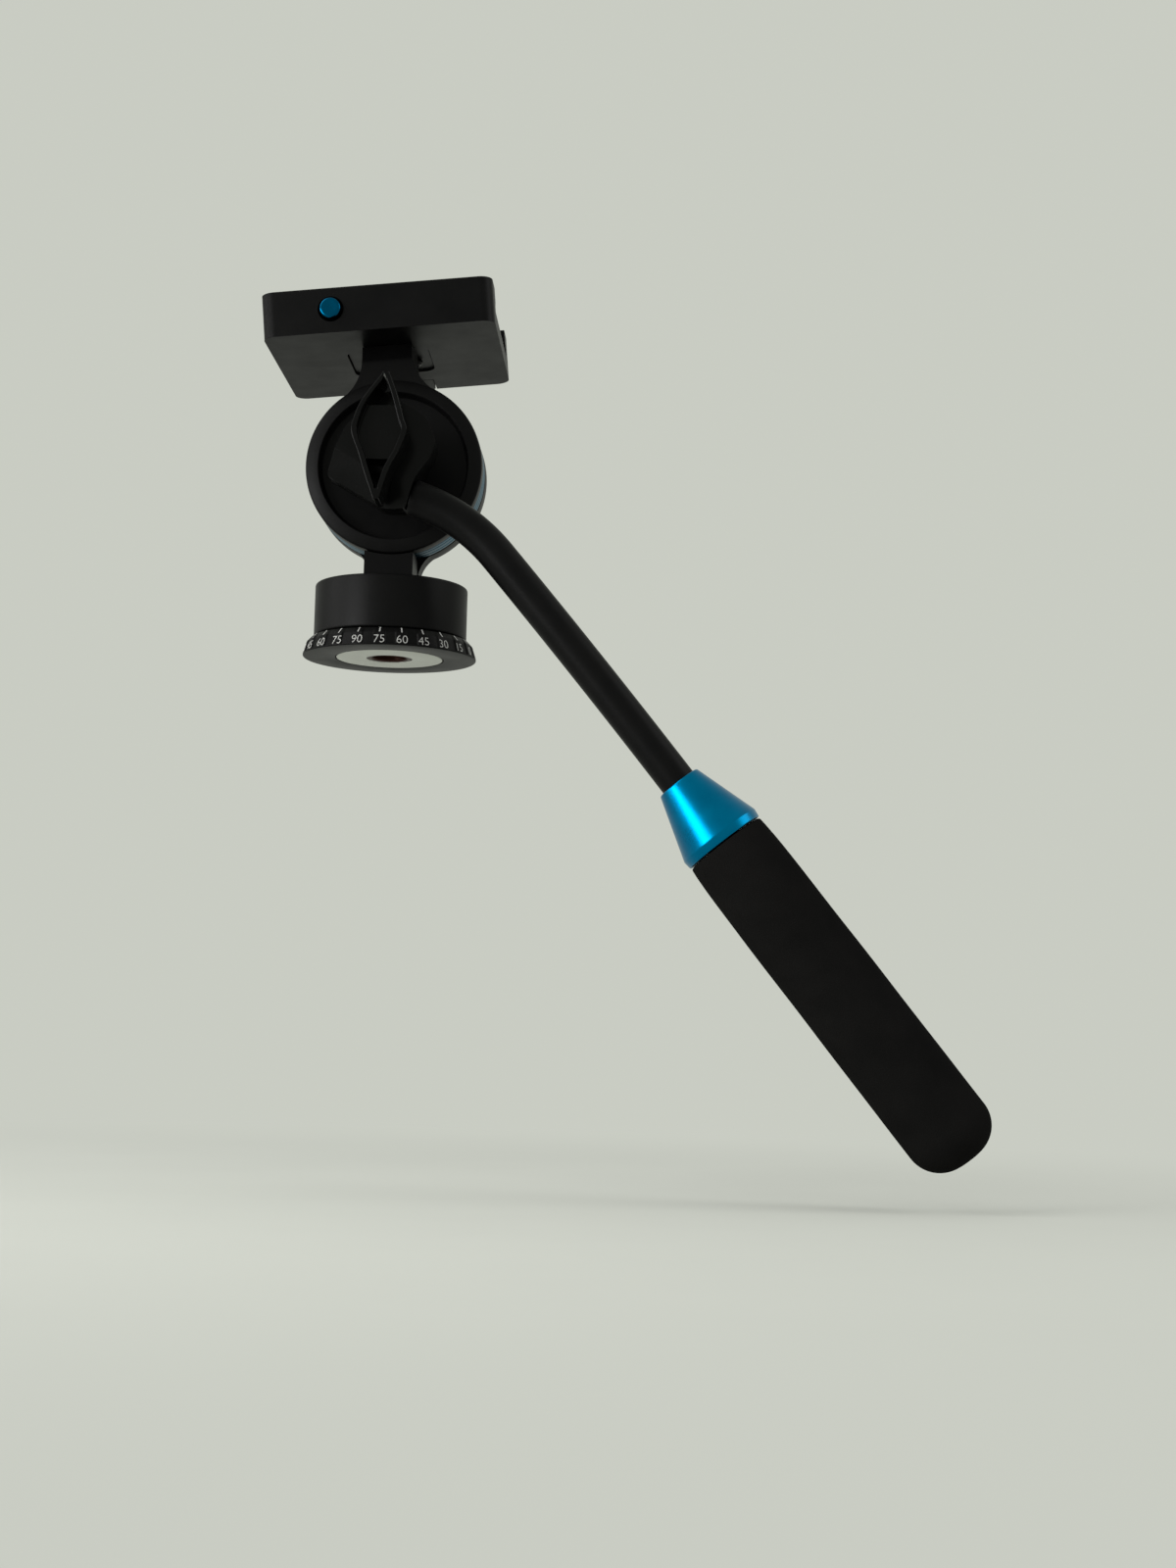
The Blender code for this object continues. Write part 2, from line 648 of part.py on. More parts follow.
def make_brake_shoe(bronze, parent):
    """Makes the shoe that the pan lock presses on the spindle, hollowed to the spindle's round."""
    half = SHOE_WIDTH / 2
    outline = [(-half, SHOE_BACK), (half, SHOE_BACK)]
    spread = math.asin(half / (SHOE_FRONT + GAP))
    outline += arc((0.0, 0.0), SHOE_FRONT + GAP, math.pi / 2 - spread, math.pi / 2 + spread)
    low = LOCK_Z - SHOE_HEIGHT / 2
    return prism("pan_brake_shoe", outline, low, low + SHOE_HEIGHT, bronze, parent, "Z")


def make_pan_lock(steel, black, parent):
    """Makes the pan lock's screw and its lobed knob."""
    front = SHOE_BACK + GAP
    knob_front = LOCK_BOSS_END + GAP
    depth = LOCK_KNOB_LENGTH - KNOB_GRIP_DEPTH / 2
    tip = knob_front + depth - GAP
    turned("pan_lock_screw", rod_profile(LOCK_SCREW_RADIUS, front, tip), steel, parent, "Y", SMALL_STEPS)
    profile = knob_profile(
        LOCK_KNOB_RADIUS, LOCK_KNOB_COLLAR_RADIUS, LOCK_SCREW_RADIUS + GAP, knob_front, LOCK_KNOB_LENGTH, depth,
    )
    turned("pan_lock_knob", profile, black, parent, "Y", KNOB_STEPS, wave=lobes(LOCK_KNOB_COLLAR_RADIUS))


# Lower yoke, axle and damping cartridge

def make_lower_yoke(black, parent):
    """Makes the lower neck with the far disc that the tilt axle sits in."""
    rim_inner = FAR_DISC_RADIUS - FAR_RIM_WIDTH
    profile = [
        (BORE_RADIUS, FAR_FRONT_Y), (FAR_DISC_RADIUS, FAR_FRONT_Y), (FAR_DISC_RADIUS, FAR_BACK_Y - FAR_EDGE),
        (FAR_DISC_RADIUS - FAR_EDGE, FAR_BACK_Y), (rim_inner, FAR_BACK_Y),
        (rim_inner - FAR_RECESS, FAR_FLOOR_Y),
        (BORE_RADIUS, FAR_FLOOR_Y),
    ]
    yoke = turned("lower_yoke", profile, black, parent, "Y", BIG_STEPS)
    rim_middle = FAR_DISC_RADIUS - FAR_RIM_WIDTH / 2
    foot = AXIS_RISE - GAP
    flare = neck_outline(FAR_DISC_RADIUS, rim_middle, NECK_HALF_WIDTH, LOWER_FILLET, foot, -1)
    join(yoke, prism("lower_flare_tool", flare, FAR_FRONT_Y + GAP, NECK_DEPTH, None, parent))
    block = [
        (-NECK_HALF_WIDTH, -foot), (NECK_HALF_WIDTH, -foot),
        (NECK_HALF_WIDTH, -rim_middle), (-NECK_HALF_WIDTH, -rim_middle),
    ]
    near = prism("lower_neck_tool", block, -NECK_DEPTH, NECK_DEPTH - GAP, None, parent)
    saddle = rod_profile(SADDLE_RADIUS, -NECK_DEPTH - OVERRUN, FAR_FRONT_Y + GAP / 2)
    cut(near, turned("lower_saddle_tool", saddle, None, parent, "Y", BIG_STEPS))
    join(yoke, near)
    return yoke


def make_axle(steel, parent):
    """Makes the tilt axle, from inside the near disc's hub to the tilt lock knob."""
    front = NEAR_RECESS_Y + BOLT_SEAT + HUB_WEB + GAP
    profile = rod_profile(AXLE_RADIUS, front, FAR_BACK_Y + AXLE_TAIL)
    return turned("tilt_axle", profile, steel, parent, "Y", MID_STEPS)


def make_drag_ring(blue, parent):
    """Makes the coloured ring that covers the damping cartridge between the discs."""
    profile = [
        (RING_INNER_RADIUS, RING_FRONT_Y), (RING_RADIUS - RING_EDGE, RING_FRONT_Y),
        (RING_RADIUS, RING_FRONT_Y + RING_EDGE), (RING_RADIUS, RING_BACK_Y - RING_EDGE),
        (RING_RADIUS - RING_EDGE, RING_BACK_Y), (RING_INNER_RADIUS, RING_BACK_Y),
    ]
    return turned("drag_ring", profile, blue, parent, "Y", BIG_STEPS)


def make_damping_stack(materials, parent):
    """Makes the flat discs of the cartridge, with equal gaps between them."""
    inner = TILT_HUB_RADIUS + GAP
    outer = RING_INNER_RADIUS - GAP
    pitch = (RING_BACK_Y - RING_FRONT_Y + GAP) / STACK_DISCS
    for index, name in enumerate(("damping_disc_near", "friction_washer", "damping_disc_far")):
        front = RING_FRONT_Y + index * pitch
        back = front + pitch - GAP
        profile = [(inner, front), (outer, front), (outer, back), (inner, back)]
        turned(name, profile, materials[index % 2], parent, "Y", MID_STEPS)


def make_tilt_bush(bronze, parent):
    """Makes the bush in the near disc's hub that turns on the axle."""
    back = FAR_FRONT_Y - 2 * GAP
    front = back - TILT_BUSH_LENGTH
    outer = BORE_RADIUS + TILT_BUSH_WALL
    profile = [(BORE_RADIUS, front), (outer, front), (outer, back), (BORE_RADIUS, back)]
    return turned("tilt_bush", profile, bronze, parent, "Y", MID_STEPS)


def make_tilt_lock(steel, black, parent):
    """Makes the thrust washer and the tilt lock knob on the axle's far end."""
    front = FAR_FLOOR_Y + GAP
    back = front + THRUST_THICKNESS
    washer = [(BORE_RADIUS, front), (THRUST_RADIUS, front), (THRUST_RADIUS, back), (BORE_RADIUS, back)]
    turned("thrust_washer", washer, steel, parent, "Y", MID_STEPS)
    knob_front = back + GAP
    depth = FAR_BACK_Y + AXLE_TAIL + GAP - knob_front
    collar = THRUST_RADIUS - GAP
    profile = knob_profile(TILT_KNOB_RADIUS, collar, BORE_RADIUS, knob_front, TILT_KNOB_LENGTH, depth)
    turned("tilt_lock_knob", profile, black, parent, "Y", KNOB_STEPS, wave=lobes(collar))


# Tilt cheek: near disc, upper neck and flange

def make_tilt_cheek(black, parent):
    """Makes the near disc with the neck and flange that carry the platform."""
    web_front = NEAR_RECESS_Y + BOLT_SEAT
    web_back = web_front + HUB_WEB
    hub_back = FAR_FRONT_Y - 2 * GAP
    hub_bore = BORE_RADIUS + TILT_BUSH_WALL + GAP
    profile = [
        (0.0, web_front), (BOLT_BORE, web_front), (BOLT_BORE, NEAR_RECESS_Y),
        (NEAR_RECESS_RADIUS, NEAR_RECESS_Y),
        (NEAR_RIM_RADIUS, NEAR_RIM_Y), (NEAR_DISC_RADIUS, NEAR_EDGE_Y), (NEAR_DISC_RADIUS, NEAR_BACK_Y),
        (TILT_HUB_RADIUS, NEAR_BACK_Y), (TILT_HUB_RADIUS, hub_back), (hub_bore, hub_back),
        (hub_bore, web_back), (0.0, web_back),
    ]
    cheek = turned("tilt_cheek", profile, black, parent, "Y", BIG_STEPS)
    rim_middle = (NEAR_RIM_RADIUS + NEAR_DISC_RADIUS) / 2
    neck_top = FLANGE_BOTTOM + FLANGE_THICKNESS / 2
    outline = neck_outline(NEAR_DISC_RADIUS, rim_middle, UPPER_HALF_WIDTH, UPPER_FILLET, neck_top, 1)
    neck = prism("upper_neck_tool", outline, -NECK_DEPTH, NECK_DEPTH, None, parent)
    saddle = rod_profile(SADDLE_RADIUS, NEAR_BACK_Y - GAP / 2, NECK_DEPTH + OVERRUN)
    cut(neck, turned("upper_saddle_tool", saddle, None, parent, "Y", BIG_STEPS))
    roof = PLATFORM_RISE - GAP
    slope_low = roof - NECK_SLOPE_RISE
    front = -NECK_DEPTH - OVERRUN
    slope = [
        (-NECK_DEPTH, slope_low), (-NECK_DEPTH + NECK_SLOPE_DEPTH, roof), (FLANGE_FRONT_Y, roof),
        (FLANGE_FRONT_Y, neck_top + OVERRUN), (front, neck_top + OVERRUN), (front, slope_low),
    ]
    wide = UPPER_HALF_WIDTH + UPPER_FILLET
    cut(neck, prism("neck_slope_tool", slope, -wide, wide, None, parent, "X"))
    join(cheek, neck)
    left = PLATFORM_CENTRE_X - FLANGE_HALF_WIDTH
    right = PLATFORM_CENTRE_X + FLANGE_HALF_WIDTH
    pad = rounded_rectangle(left, right, FLANGE_FRONT_Y, FLANGE_BACK_Y, FLANGE_CORNER - GAP, 3)
    join(cheek, prism("flange_tool", pad, FLANGE_BOTTOM, FLANGE_TOP, None, parent, "Z"))
    shape = bmesh.new()
    for side in (-1, 1):
        hole = rod_profile(FLANGE_SCREW_RADIUS + GAP, FLANGE_BOTTOM - OVERRUN, FLANGE_TOP + OVERRUN)
        add_turned(shape, hole, "Z", SMALL_STEPS, flange_screw_place(side))
    cut(cheek, add_piece("flange_hole_tool", shape, None, parent))
    return cheek


def flange_screw_place(side):
    """Gives the place of the left or right flange screw, behind the neck."""
    return (PLATFORM_CENTRE_X + side * FLANGE_SCREW_SPACING, FLANGE_SCREW_Y, 0.0)


def make_platform_screws(steel, parent):
    """Makes the two button-head screws that hold the flange to the platform."""
    under_head = FLANGE_BOTTOM - GAP
    top = FLANGE_TOP + GAP + FLANGE_SCREW_GRIP
    profile = [
        (0.0, under_head - FLANGE_SCREW_HEAD_HEIGHT),
        (FLANGE_SCREW_HEAD * FLANGE_SCREW_CROWN_SHARE, under_head - FLANGE_SCREW_HEAD_HEIGHT),
        (FLANGE_SCREW_HEAD, under_head - FLANGE_SCREW_HEAD_HEIGHT / 2), (FLANGE_SCREW_HEAD, under_head),
        (FLANGE_SCREW_RADIUS, under_head), (FLANGE_SCREW_RADIUS, top), (0.0, top),
    ]
    for side, name in ((-1, "platform_screw_left"), (1, "platform_screw_right")):
        turned(name, profile, steel, parent, "Z", SMALL_STEPS, flange_screw_place(side))


# Platform

def make_clamp_body(black, parent):
    """Makes the platform's body: a floor with the fixed jaw along its near edge."""
    left = PLATFORM_CENTRE_X - PLATFORM_WIDTH / 2
    right = PLATFORM_CENTRE_X + PLATFORM_WIDTH / 2
    outline = rounded_rectangle(left, right, PLATFORM_NEAR_Y, PLATFORM_BACK_Y, PLATFORM_CORNER)
    body = prism("clamp_body", outline, PLATFORM_RISE, PLATFORM_TOP, black, parent, "Z")
    lip_y = GROOVE_Y + PLATE_LIP
    groove_top = PLATE_BOTTOM + PLATE_EDGE
    far = PLATFORM_BACK_Y + OVERRUN
    channel = [
        (lip_y, PLATFORM_TOP + OVERRUN), (lip_y, groove_top + PLATE_LIP), (GROOVE_Y, groove_top),
        (GROOVE_Y, FLOOR_TOP), (far, FLOOR_TOP), (far, PLATFORM_TOP + OVERRUN),
    ]
    cut(body, prism("channel_tool", channel, left - OVERRUN, right + OVERRUN, None, parent, "X"))
    pocket = rounded_rectangle(
        PLATFORM_CENTRE_X - FLANGE_HALF_WIDTH - GAP, PLATFORM_CENTRE_X + FLANGE_HALF_WIDTH + GAP,
        FLANGE_FRONT_Y - GAP, FLANGE_BACK_Y + GAP, FLANGE_CORNER, 3,
    )
    pocket_top = FLANGE_TOP + GAP
    cut(body, prism("pocket_tool", pocket, PLATFORM_RISE - OVERRUN, pocket_top, None, parent, "Z"))
    half = JAW_TONGUE_HALF_WIDTH + GAP
    notch = [
        (-half, JAW_TONGUE_Y - GAP), (half, JAW_TONGUE_Y - GAP), (half, far), (-half, far),
    ]
    cut(body, prism("notch_tool", notch, PLATFORM_RISE - OVERRUN, FLOOR_TOP + OVERRUN, None, parent, "Z"))
    add_clamp_holes(body, parent)
    return body


def add_clamp_holes(body, parent):
    """Drills the platform for its screws, pins and button."""
    shape = bmesh.new()
    end = JAW_TONGUE_Y + OVERRUN
    screw = rod_profile(CLAMP_SCREW_RADIUS + GAP, CLAMP_BORE_Y, end)
    add_turned(shape, screw, "Y", SMALL_STEPS, (0.0, 0.0, CLAMP_SCREW_Z))
    for side in (-1, 1):
        pin = rod_profile(GUIDE_PIN_RADIUS + GAP, CLAMP_BORE_Y, end)
        add_turned(shape, pin, "Y", PIN_STEPS, (side * GUIDE_PIN_SPACING, 0.0, CLAMP_SCREW_Z))
        hole_top = FLANGE_TOP + 2 * GAP + FLANGE_SCREW_GRIP
        hole = rod_profile(FLANGE_SCREW_RADIUS + GAP, FLANGE_TOP, hole_top)
        add_turned(shape, hole, "Z", PIN_STEPS, flange_screw_place(side))
    stop_top = PLATE_BOTTOM + STOP_PIN_HEIGHT - GAP
    stop_low = stop_top - STOP_PIN_LENGTH - STOP_DROP - GAP
    stop = rod_profile(STOP_PIN_RADIUS + GAP, stop_low, FLOOR_TOP + GAP / 2)
    add_turned(shape, stop, "Z", PIN_STEPS, (BUTTON_X, STOP_PIN_Y, 0.0))
    cut(body, add_piece("drill_tool", shape, None, parent))
    well_bottom = PLATFORM_NEAR_Y + BUTTON_WELL_DEPTH
    mouth = BUTTON_RADIUS + BUTTON_WELL_WALL
    well = [
        (0.0, PLATFORM_NEAR_Y - OVERRUN), (mouth, PLATFORM_NEAR_Y - OVERRUN),
        (mouth, PLATFORM_NEAR_Y + EDGE_BEVEL), (BUTTON_RADIUS + GAP, PLATFORM_NEAR_Y + OVERRUN),
        (BUTTON_RADIUS + GAP, well_bottom), (BUTTON_STEM_RADIUS + GAP, well_bottom),
        (BUTTON_STEM_RADIUS + GAP, GROOVE_Y + PLATE_LIP / 2), (0.0, GROOVE_Y + PLATE_LIP / 2),
    ]
    place = (BUTTON_X, 0.0, PLATFORM_RISE + BUTTON_RISE)
    cut(body, turned("button_well_tool", well, None, parent, "Y", MID_STEPS, place))


def make_moving_jaw(black, parent):
    """Makes the far jaw, with the tongue that the clamp screw draws."""
    left = PLATFORM_CENTRE_X - PLATFORM_WIDTH / 2
    right = PLATFORM_CENTRE_X + PLATFORM_WIDTH / 2
    corner = PLATFORM_CORNER
    outline = [(right, JAW_LIP_Y)]
    outline += arc((right - corner, PLATFORM_BACK_Y - corner), corner, 0.0, math.pi / 2)
    outline += arc((left + corner, PLATFORM_BACK_Y - corner), corner, math.pi / 2, math.pi)
    outline += [(left, JAW_LIP_Y)]
    jaw = prism("moving_jaw", outline, FLOOR_TOP + GAP, PLATFORM_TOP, black, parent, "Z")
    front = JAW_LIP_Y - OVERRUN
    groove_top = PLATE_BOTTOM + PLATE_EDGE
    groove_y = JAW_LIP_Y + PLATE_LIP
    low = FLOOR_TOP - OVERRUN
    groove = [(front, low), (groove_y, low), (groove_y, groove_top), (JAW_LIP_Y, groove_top + PLATE_LIP)]
    groove += [(front, groove_top + PLATE_LIP)]
    cut(jaw, prism("groove_tool", groove, left - OVERRUN, right + OVERRUN, None, parent, "X"))
    half = JAW_TONGUE_HALF_WIDTH
    back = PLATFORM_BACK_Y - GAP
    tongue = [(-half, JAW_TONGUE_Y), (half, JAW_TONGUE_Y), (half, back), (-half, back)]
    join(jaw, prism("tongue_tool", tongue, PLATFORM_RISE, FLOOR_TOP + OVERRUN, None, parent, "Z"))
    shape = bmesh.new()
    bores = [(0.0, CLAMP_SCREW_RADIUS)] + [(side * GUIDE_PIN_SPACING, GUIDE_PIN_RADIUS) for side in (-1, 1)]
    for place, radius in bores:
        bore = rod_profile(radius + GAP, JAW_TONGUE_Y - OVERRUN, back + OVERRUN)
        add_turned(shape, bore, "Y", SMALL_STEPS, (place, 0.0, CLAMP_SCREW_Z))
    cut(jaw, add_piece("tongue_bore_tool", shape, None, parent))
    return jaw


def make_clamp_drive(steel, black, parent):
    """Makes the guide pins, the clamp screw and its knob, on the screw's axis."""
    for side, name in ((-1, "jaw_guide_pin_left"), (1, "jaw_guide_pin_right")):
        pin = rod_profile(GUIDE_PIN_RADIUS, CLAMP_BORE_Y + GAP, PLATFORM_BACK_Y - 2 * GAP)
        turned(name, pin, steel, parent, "Y", PIN_STEPS, (side * GUIDE_PIN_SPACING, 0.0, CLAMP_SCREW_Z))
    knob_front = PLATFORM_BACK_Y + GAP
    screw_axis = add_empty("clamp_screw_axis", parent, (0.0, 0.0, CLAMP_SCREW_Z))
    screw = rod_profile(CLAMP_SCREW_RADIUS, CLAMP_BORE_Y + GAP, knob_front + CLAMP_SCREW_GRIP)
    turned("clamp_screw", screw, steel, screw_axis, "Y", SMALL_STEPS)
    collar = CLAMP_KNOB_RADIUS - 2 * KNOB_EDGE
    profile = knob_profile(
        CLAMP_KNOB_RADIUS, collar, CLAMP_SCREW_RADIUS + GAP, knob_front, CLAMP_KNOB_LENGTH, CLAMP_SCREW_GRIP + GAP,
    )
    turned("clamp_knob", profile, black, screw_axis, "Y", KNOB_STEPS, wave=lobes(collar))


def make_button(blue, steel, parent):
    """Makes the safety button, its spring and the stop pin that it draws down."""
    place = (BUTTON_X, 0.0, PLATFORM_RISE + BUTTON_RISE)
    front = PLATFORM_NEAR_Y - BUTTON_PROUD
    back = PLATFORM_NEAR_Y + BUTTON_BODY
    stem_end = GROOVE_Y - BUTTON_STEM_SETBACK
    profile = [(BUTTON_RADIUS * wide, front + BUTTON_DOME * deep) for wide, deep in BUTTON_CROWN_SHARES]
    profile += [(BUTTON_RADIUS, back), (BUTTON_STEM_RADIUS, back)]
    profile += [(BUTTON_STEM_RADIUS, stem_end), (0.0, stem_end)]
    turned("safety_button", profile, blue, parent, "Y", MID_STEPS, place)
    well_bottom = PLATFORM_NEAR_Y + BUTTON_WELL_DEPTH
    radius = (BUTTON_RADIUS + BUTTON_STEM_RADIUS) / 2
    start = back + GAP + SPRING_WIRE_RADIUS
    stop = well_bottom - GAP - SPRING_WIRE_RADIUS
    make_spring("button_spring", radius, start, stop, place, steel, parent)
    top = PLATE_BOTTOM + STOP_PIN_HEIGHT - GAP
    pin = rod_profile(STOP_PIN_RADIUS, top - STOP_PIN_LENGTH, top)
    turned("plate_stop_pin", pin, steel, parent, "Z", PIN_STEPS, (BUTTON_X, STOP_PIN_Y, 0.0))


def make_spring(name, radius, start, stop, centre, material, parent):
    """Winds a small compression spring along Y."""
    shape = bmesh.new()
    count = SPRING_COILS * SPRING_COIL_POINTS
    rows = []
    for index in range(count + 1):
        angle = math.tau * index / SPRING_COIL_POINTS
        along = start + (stop - start) * index / count
        row = []
        for step in range(SPRING_WIRE_STEPS):
            turn = math.tau * step / SPRING_WIRE_STEPS
            reach = radius + SPRING_WIRE_RADIUS * math.cos(turn)
            row.append(shape.verts.new((
                centre[0] + reach * math.cos(angle), along + SPRING_WIRE_RADIUS * math.sin(turn),
                centre[2] + reach * math.sin(angle),
            )))
        rows.append(row)
    skin_rows(shape, rows)
    return add_piece(name, shape, material, parent)


def skin_rows(shape, rows):
    """Skins equal rows of points into a tube with flat ends."""
    for first, second in zip(rows, rows[1:]):
        for step in range(len(first)):
            after = (step + 1) % len(first)
            shape.faces.new((first[step], second[step], second[after], first[after]))
    shape.faces.new(rows[0])
    shape.faces.new(list(reversed(rows[-1])))


# Quick-release plate

def make_camera_plate(black, parent):
    """Makes the dovetail plate, recessed for its pads and bored for the camera screw."""
    low = PLATE_BOTTOM
    edge = low + PLATE_EDGE
    half = PLATE_HALF_WIDTH
    outline = []
    for side in (-1, 1):
        flank = [(half, low), (half, edge), (PLATE_NECK, edge + PLATE_LIP), (PLATE_NECK, PLATE_TOP)]
        points = [(PLATE_CENTRE_Y + side * y, z) for y, z in flank]
        outline += points if side == 1 else list(reversed(points))
    left = PLATFORM_CENTRE_X - PLATE_LENGTH / 2
    right = PLATFORM_CENTRE_X + PLATE_LENGTH / 2
    plate = prism("camera_plate", outline, left, right, black, parent, "X")
    shape = bmesh.new()
    for side in (-1, 1):
        add_prism(shape, pad_outline(side, GAP), PLATE_TOP - PAD_RECESS, PLATE_TOP + OVERRUN, "Z")
    cut(plate, add_piece("pad_recess_tool", shape, None, parent))
    bore = [
        (0.0, low - OVERRUN), (CAMERA_SCREW_HEAD + GAP, low - OVERRUN),
        (CAMERA_SCREW_HEAD + GAP, low + CAMERA_SCREW_HEAD_HEIGHT + 2 * GAP),
        (CAMERA_SCREW_RADIUS + GAP, low + CAMERA_SCREW_HEAD_HEIGHT + 2 * GAP),
        (CAMERA_SCREW_RADIUS + GAP, PLATE_TOP + OVERRUN), (0.0, PLATE_TOP + OVERRUN),
    ]
    middle = (PLATFORM_CENTRE_X, PLATE_CENTRE_Y, 0.0)
    cut(plate, turned("screw_bore_tool", bore, None, parent, "Z", MID_STEPS, middle))
    reach = STOP_PIN_RADIUS + GAP
    slot = rounded_rectangle(
        BUTTON_X - STOP_SLOT_TRAVEL - reach, BUTTON_X + STOP_SLOT_TRAVEL + reach,
        STOP_PIN_Y - reach, STOP_PIN_Y + reach, reach * STOP_SLOT_ROUND_SHARE, 3,
    )
    cut(plate, prism("stop_slot_tool", slot, low - OVERRUN, low + STOP_PIN_HEIGHT, None, parent, "Z"))
    return plate


def pad_outline(side, grow):
    """Outline of one rubber pad, grown by a clearance for its recess."""
    middle = PLATFORM_CENTRE_X + side * PAD_SPACING
    half_width = PAD_WIDTH / 2 + grow
    half_length = PAD_LENGTH / 2 + grow
    return rounded_rectangle(
        middle - half_width, middle + half_width, PLATE_CENTRE_Y - half_length, PLATE_CENTRE_Y + half_length,
        PLATE_CORNER, 3,
    )


def make_plate_trim(rubber, steel, parent):
    """Makes the two pads and the slotted camera screw."""
    pad_low = PLATE_TOP - PAD_RECESS + GAP
    for side, name in ((-1, "plate_pad_left"), (1, "plate_pad_right")):
        prism(name, pad_outline(side, 0.0), pad_low, pad_low + PAD_THICKNESS, rubber, parent, "Z")
    low = PLATE_BOTTOM + GAP
    head_top = low + CAMERA_SCREW_HEAD_HEIGHT
    tip = PLATE_TOP + CAMERA_SCREW_REACH
    screw_axis = add_empty("camera_screw_axis", parent, (PLATFORM_CENTRE_X, PLATE_CENTRE_Y, 0.0))
    profile = [
        (0.0, low), (CAMERA_SCREW_HEAD, low), (CAMERA_SCREW_HEAD, head_top), (CAMERA_SCREW_RADIUS, head_top),
        (CAMERA_SCREW_RADIUS, tip - EDGE_BEVEL), (CAMERA_SCREW_RADIUS - EDGE_BEVEL, tip), (0.0, tip),
    ]
    screw = turned("camera_screw", profile, steel, screw_axis, "Z", MID_STEPS)
    half = CAMERA_SCREW_SLOT / 2
    slot = [(-half, low - OVERRUN), (half, low - OVERRUN), (half, low + CAMERA_SCREW_SLOT_DEPTH)]
    slot += [(-half, low + CAMERA_SCREW_SLOT_DEPTH)]
    reach = CAMERA_SCREW_HEAD + OVERRUN
    cut(screw, prism("screw_slot_tool", slot, -reach, reach, None, screw_axis, "X"))


# Handle

def shield_outline():
    """Outline in (x, z) of the handle base, whose lower right edge stands square to the rod."""
    left = []
    for x_share, z_share in SHIELD_LEFT_SHARES:
        width = SHIELD_LEFT
        height = SHIELD_TOP if z_share > 0 else SHIELD_BOTTOM
        left.append((x_share * width, z_share * height))
    right = []
    for x_share, z_share in SHIELD_RIGHT_SHARES:
        height = SHIELD_TOP if z_share > 0 else SHIELD_BOTTOM
        right.append((x_share * SHIELD_RIGHT, z_share * height))
    across = (-math.sin(ROD_START_ANGLE), math.cos(ROD_START_ANGLE))
    seat = (ROD_START_X - GAP * math.cos(ROD_START_ANGLE), ROD_START_Z - GAP * math.sin(ROD_START_ANGLE))
    upper = (seat[0] + across[0] * ROD_RADIUS, seat[1] + across[1] * ROD_RADIUS)
    lower_reach = (SHIELD_BOTTOM + seat[1]) / across[1]
    lower = (seat[0] - across[0] * lower_reach, -SHIELD_BOTTOM)
    return right + [upper, lower] + list(reversed(left))


def make_handle_base(black, parent):
    """Makes the shield-shaped plate with its round neck, its facet and the bore for the rod's spigot."""
    base = prism("handle_base", shield_outline(), BASE_PLATE_FRONT_Y, BASE_PLATE_BACK_Y, black, parent)
    bevel(base, SHIELD_BEVEL)
    neck = rod_profile(BASE_NECK_RADIUS, BASE_PLATE_BACK_Y - OVERRUN, NEAR_RECESS_Y - GAP)
    join(base, turned("handle_neck_tool", neck, None, parent, "Y", MID_STEPS))
    facet_length = 2 * (SHIELD_LEFT + SHIELD_BOTTOM)
    rise = facet_length * math.tan(FACET_ANGLE)
    front = BASE_PLATE_FRONT_Y - OVERRUN
    wedge = [
        (0.0, BASE_PLATE_FRONT_Y), (facet_length, BASE_PLATE_FRONT_Y + rise), (facet_length, front),
        (0.0, front),
    ]
    tool = prism("facet_tool", wedge, -facet_length, facet_length, None, parent, "X")
    turn = Matrix.Rotation(-FACET_HEADING, 4, "Y")
    swing = Matrix(((1, 0, 0, 0), (0, 0, 1, 0), (0, -1, 0, 0), (0, 0, 0, 1)))
    tool.data.transform(turn @ Matrix.Translation((0.0, 0.0, -FACET_OFFSET)) @ swing)
    cut(base, tool)
    bore = rod_profile(BOLT_BORE, BASE_PLATE_FRONT_Y - OVERRUN, NEAR_RECESS_Y + OVERRUN)
    cut(base, turned("bolt_bore_tool", bore, None, parent, "Y", SMALL_STEPS))
    spigot = rod_rows([(-SPIGOT_LENGTH - GAP, SPIGOT_RADIUS + GAP), (OVERRUN, SPIGOT_RADIUS + GAP)])
    shape = bmesh.new()
    skin_rows(shape, [[shape.verts.new(point) for point in row] for row in spigot])
    cut(base, add_piece("spigot_bore_tool", shape, None, parent))
    return base


def rod_point(distance):
    """Place and heading of the rod's axis at a distance from its shoulder."""
    bend = ROD_BEND_RADIUS * (ROD_START_ANGLE - ROD_END_ANGLE)
    if distance <= 0.0:
        heading = ROD_START_ANGLE
        x = ROD_START_X + distance * math.cos(heading)
        z = ROD_START_Z + distance * math.sin(heading)
        return x, z, heading
    arc_length = min(distance, bend)
    heading = ROD_START_ANGLE - arc_length / ROD_BEND_RADIUS
    x = ROD_START_X + ROD_BEND_RADIUS * (math.sin(ROD_START_ANGLE) - math.sin(heading))
    z = ROD_START_Z - ROD_BEND_RADIUS * (math.cos(ROD_START_ANGLE) - math.cos(heading))
    straight = distance - arc_length
    return x + straight * math.cos(heading), z + straight * math.sin(heading), heading


def rod_rows(stations, steps=ROD_STEPS):
    """Rings of points round the rod's axis, one for each (distance, radius)."""
    rows = []
    for distance, radius in stations:
        x, z, heading = rod_point(distance)
        row = []
        for step in range(steps):
            angle = math.tau * step / steps
            across = radius * math.cos(angle)
            row.append((
                x - across * math.sin(heading), ROD_PLANE_Y + radius * math.sin(angle),
                z + across * math.cos(heading),
            ))
        rows.append(row)
    return rows


